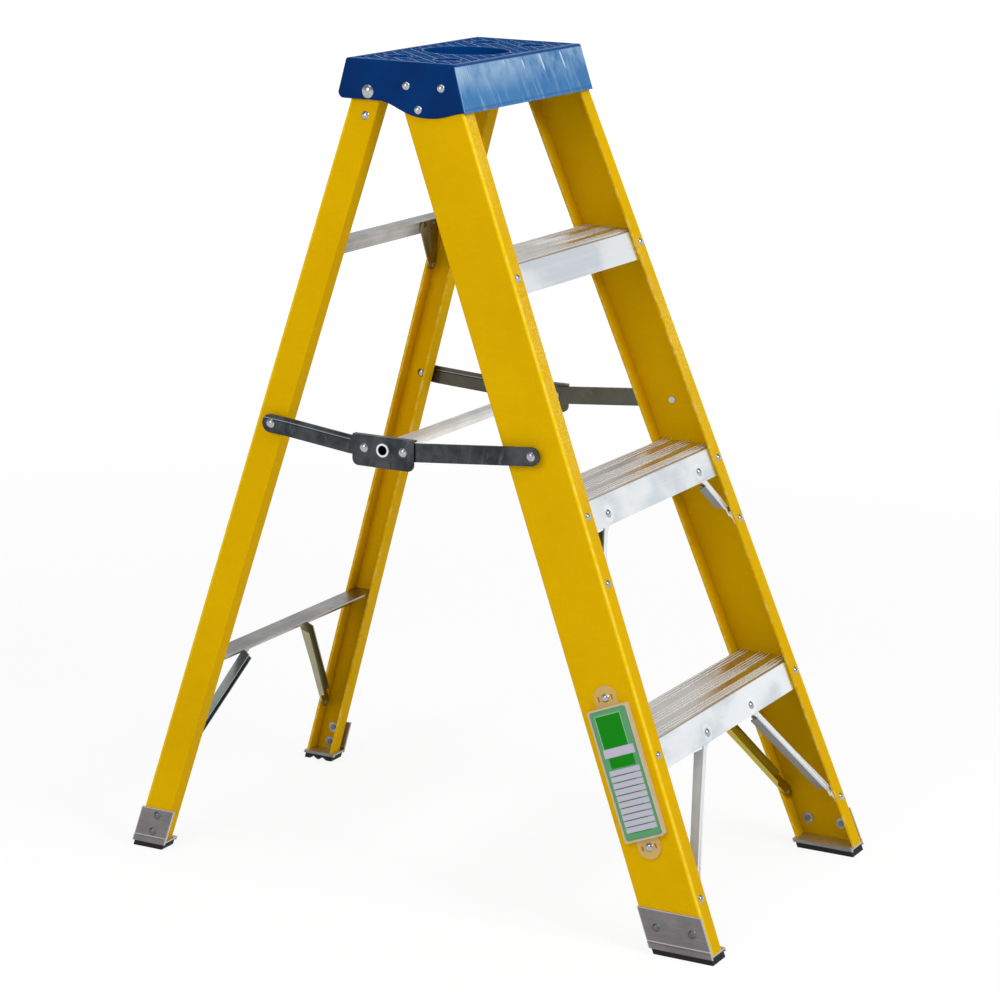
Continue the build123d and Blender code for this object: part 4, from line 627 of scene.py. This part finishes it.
# Materials by pair or piece, or else by slot
bars = bar_material()
# Its third colour, for the right-hand pieces, is painted shade
dull_brace = zinc_material("zinc_dull", (0.30, 0.345, 0.335), (0.36, 0.40, 0.39), (0.27, 0.245, 0.125))
dull_rivet = rivet_material("rivet_dull", (0.115, 0.125, 0.130), (0.185, 0.195, 0.200), rough=0.34)
dull_washer = rivet_material("washer_dull", (0.26, 0.25, 0.235), (0.38, 0.37, 0.355), rough=0.36)
MATERIALS = {
    "front_rail": rail_material("rail_yellow_front", FRONT, speckle=0.55),
    "rear_rail": rail_material("rail_yellow_rear", REAR, speckle=0.0),
    "front_shoe": shoe_material("shoe_aluminium_front", FRONT, FRONT_SHOE_TOP),
    "rear_shoe": shoe_material(
        "shoe_aluminium_rear", REAR, REAR_SHOE_TOP, REAR_SHOE_OVERHANG, REAR_SHOE_LEAD),
    "front_shoe_rivets": dull_rivet,
    "rear_shoe_rivets": dull_rivet,
    "front_shoe_washers": dull_washer,
    "rear_shoe_washers": dull_washer,
    "rear_crossbar_upper": bars,
    "rear_crossbar_lower": bars,
    "rear_brace": dull_brace,
    "upper_gusset": dull_brace,
    "spreader_rear_arm": spreader_material("spreader_steel_creased", True),
    "spreader_tube": tube_material(),
    # Painted light on the near piece and painted shade on the right-hand one
    "bottom_step_front_brace": zinc_material(
        "zinc_painted_light_and_shade", (0.78, 0.82, 0.83), (0.88, 0.91, 0.92), (0.175, 0.180, 0.178),
        FACE_DEPTH, metal=0.35),
    # A darker copy of the zinc: painted shade
    "middle_step_brace": zinc_material(
        "zinc_painted_shade", (0.22, 0.225, 0.225), (0.28, 0.29, 0.29), (0.22, 0.23, 0.23), FACE_DEPTH),
    # Yellow plating; the third colour adds a painted reflection of the rails on the right-hand piece
    "bottom_step_rear_brace": zinc_material(
        "zinc_yellow", (0.34, 0.28, 0.04), (0.46, 0.39, 0.07), (0.44, 0.34, 0.010)),
    "cap_blue": cap_material(),
    "tread_aluminium": tread_material(),
    "galvanised_steel": zinc_material(
        "galvanised_steel", (0.45, 0.47, 0.48), (0.58, 0.60, 0.61), (0.45, 0.47, 0.48)),
    "spreader_steel": spreader_material("spreader_steel", False),
    "rivet_steel": rivet_material("rivet_steel", (0.36, 0.375, 0.40), (0.48, 0.495, 0.52), rough=0.10),
    "pad_rubber": rubber_material(),
    "washer_nylon": nylon_material(),
    "tag_plastic": holder_material(),
    "card_green": card_material(),
}


def look(name, slot):
    """A node's material: that of its pair of pieces, or else its slot's."""
    pair = name.removesuffix("_left").removesuffix("_right")
    return MATERIALS.get(pair, MATERIALS.get(slot))


slots = {part["node"]: part["material_slot"] for part in frame["record"]["subparts"]}
for name, node in frame["nodes"].items():
    node.data.materials.clear()
    node.data.materials.append(look(name, slots[name]))
    for face in node.data.polygons:
        face.material_index = 0

# Floor
FLOOR_REACH = 30.0
FLOOR_NEAR = 1.0
FLOOR_FAR = 6.0
GLOW_NEAR = 1.06
GLOW_FAR = 1.25
FLOOR_PAINT = (0.82, 0.82, 0.82, 1.0)
FLOOR_WHITE = (1.0, 1.0, 1.0, 1.0)
GLOW_SHARE = 0.82


def floor_material():
    """White diffuse paint that also glows, stronger far away, for rays from the camera or a mirror."""
    material = bpy.data.materials.new("floor_white")
    g = Tree(material)
    g.nodes.clear()
    place = g.field("TexCoord", output="Object")
    far = g.field("VectorMath", place, operation="LENGTH", output="Value")
    paint = g.field("BsdfDiffuse", FLOOR_PAINT)
    glow = g.field("Emission", FLOOR_WHITE, g.ease(far, FLOOR_NEAR, FLOOR_FAR, GLOW_NEAR, GLOW_FAR))
    seen = g.field("LightPath", output="Is Camera Ray")
    for ray in ("Is Glossy Ray", "Is Transmission Ray"):
        seen = g.math("MAXIMUM", seen, g.field("LightPath", output=ray))
    g.node("OutputMaterial", g.field("MixShader", seen * GLOW_SHARE, paint, glow))
    return material


corners = [(x * FLOOR_REACH, y * FLOOR_REACH, 0) for x, y in ((-1, -1), (1, -1), (1, 1), (-1, 1))]
floor_mesh = bpy.data.meshes.new("floor")
floor_mesh.from_pydata(corners, [], [(0, 1, 2, 3)])
floor_mesh.materials.append(floor_material())
floor = bpy.data.objects.new("floor", floor_mesh)
collection.objects.link(floor)

# Room: pale near the horizon, dimmer overhead
ROOM_AIR = (0.98, 0.99, 1.0, 1.0)
ROOM_LOW = 0.98
ROOM_HIGH = 0.36
world = bpy.data.worlds.new("room")
scene.world = world
room = Tree(world)
room.nodes.clear()
height = room.field("SeparateXYZ", room.field("TexCoord", output="Generated"), output="Z")
strength = room.ease(height, 0.02, 0.55, ROOM_LOW, ROOM_HIGH)
room.node("OutputWorld", room.field("Background", ROOM_AIR, strength))

# Square soft boxes that face one point: place, size, power
LAMP_AIM = Vector((0.0, 0.0, 0.6))
LAMPS = {
    "side_box": ((-3.2, 0.3, 2.5), 1.8, 34.0),
    "front_box": ((-0.5, -3.1, 3.3), 1.6, 63.0),
    "right_box": ((2.9, -1.9, 1.2), 2.0, 3.0),
    "top_box": ((-0.5, -0.4, 4.0), 2.4, 18.0),
}
for name, (place, size, power) in LAMPS.items():
    light = bpy.data.lights.new(name, "AREA")
    light.shape = "SQUARE"
    light.size = size
    light.energy = power
    box = bpy.data.objects.new(name, light)
    collection.objects.link(box)
    box.location = place
    box.rotation_euler = (LAMP_AIM - Vector(place)).to_track_quat("-Z", "Y").to_euler()

# Camera fitted to the photograph
EYE = (-3.81748, -1.98428, 1.51841)
AZIMUTH = math.radians(-62.4638)
ELEVATION = math.radians(13.3868)
ROLL = math.radians(1.0587)
SENSOR = 36.0
LENS = 118.14
CLIP_END = 100.0
level = Vector((math.cos(AZIMUTH), math.sin(AZIMUTH), 0.0))
back = Vector((math.sin(AZIMUTH) * math.cos(ELEVATION), -math.cos(AZIMUTH) * math.cos(ELEVATION),
               math.sin(ELEVATION)))
rise = back.cross(level)
right = level * math.cos(ROLL) + rise * math.sin(ROLL)
up = rise * math.cos(ROLL) - level * math.sin(ROLL)
lens = bpy.data.cameras.new("camera")
lens.sensor_width = SENSOR
lens.sensor_height = SENSOR
lens.sensor_fit = "HORIZONTAL"
lens.lens = LENS
lens.clip_end = CLIP_END
camera = bpy.data.objects.new("camera", lens)
collection.objects.link(camera)
pose = Matrix((right, up, back)).transposed().to_4x4()
pose.translation = EYE
camera.matrix_world = pose
scene.camera = camera

bpy.context.scene.view_settings.view_transform = "Standard"
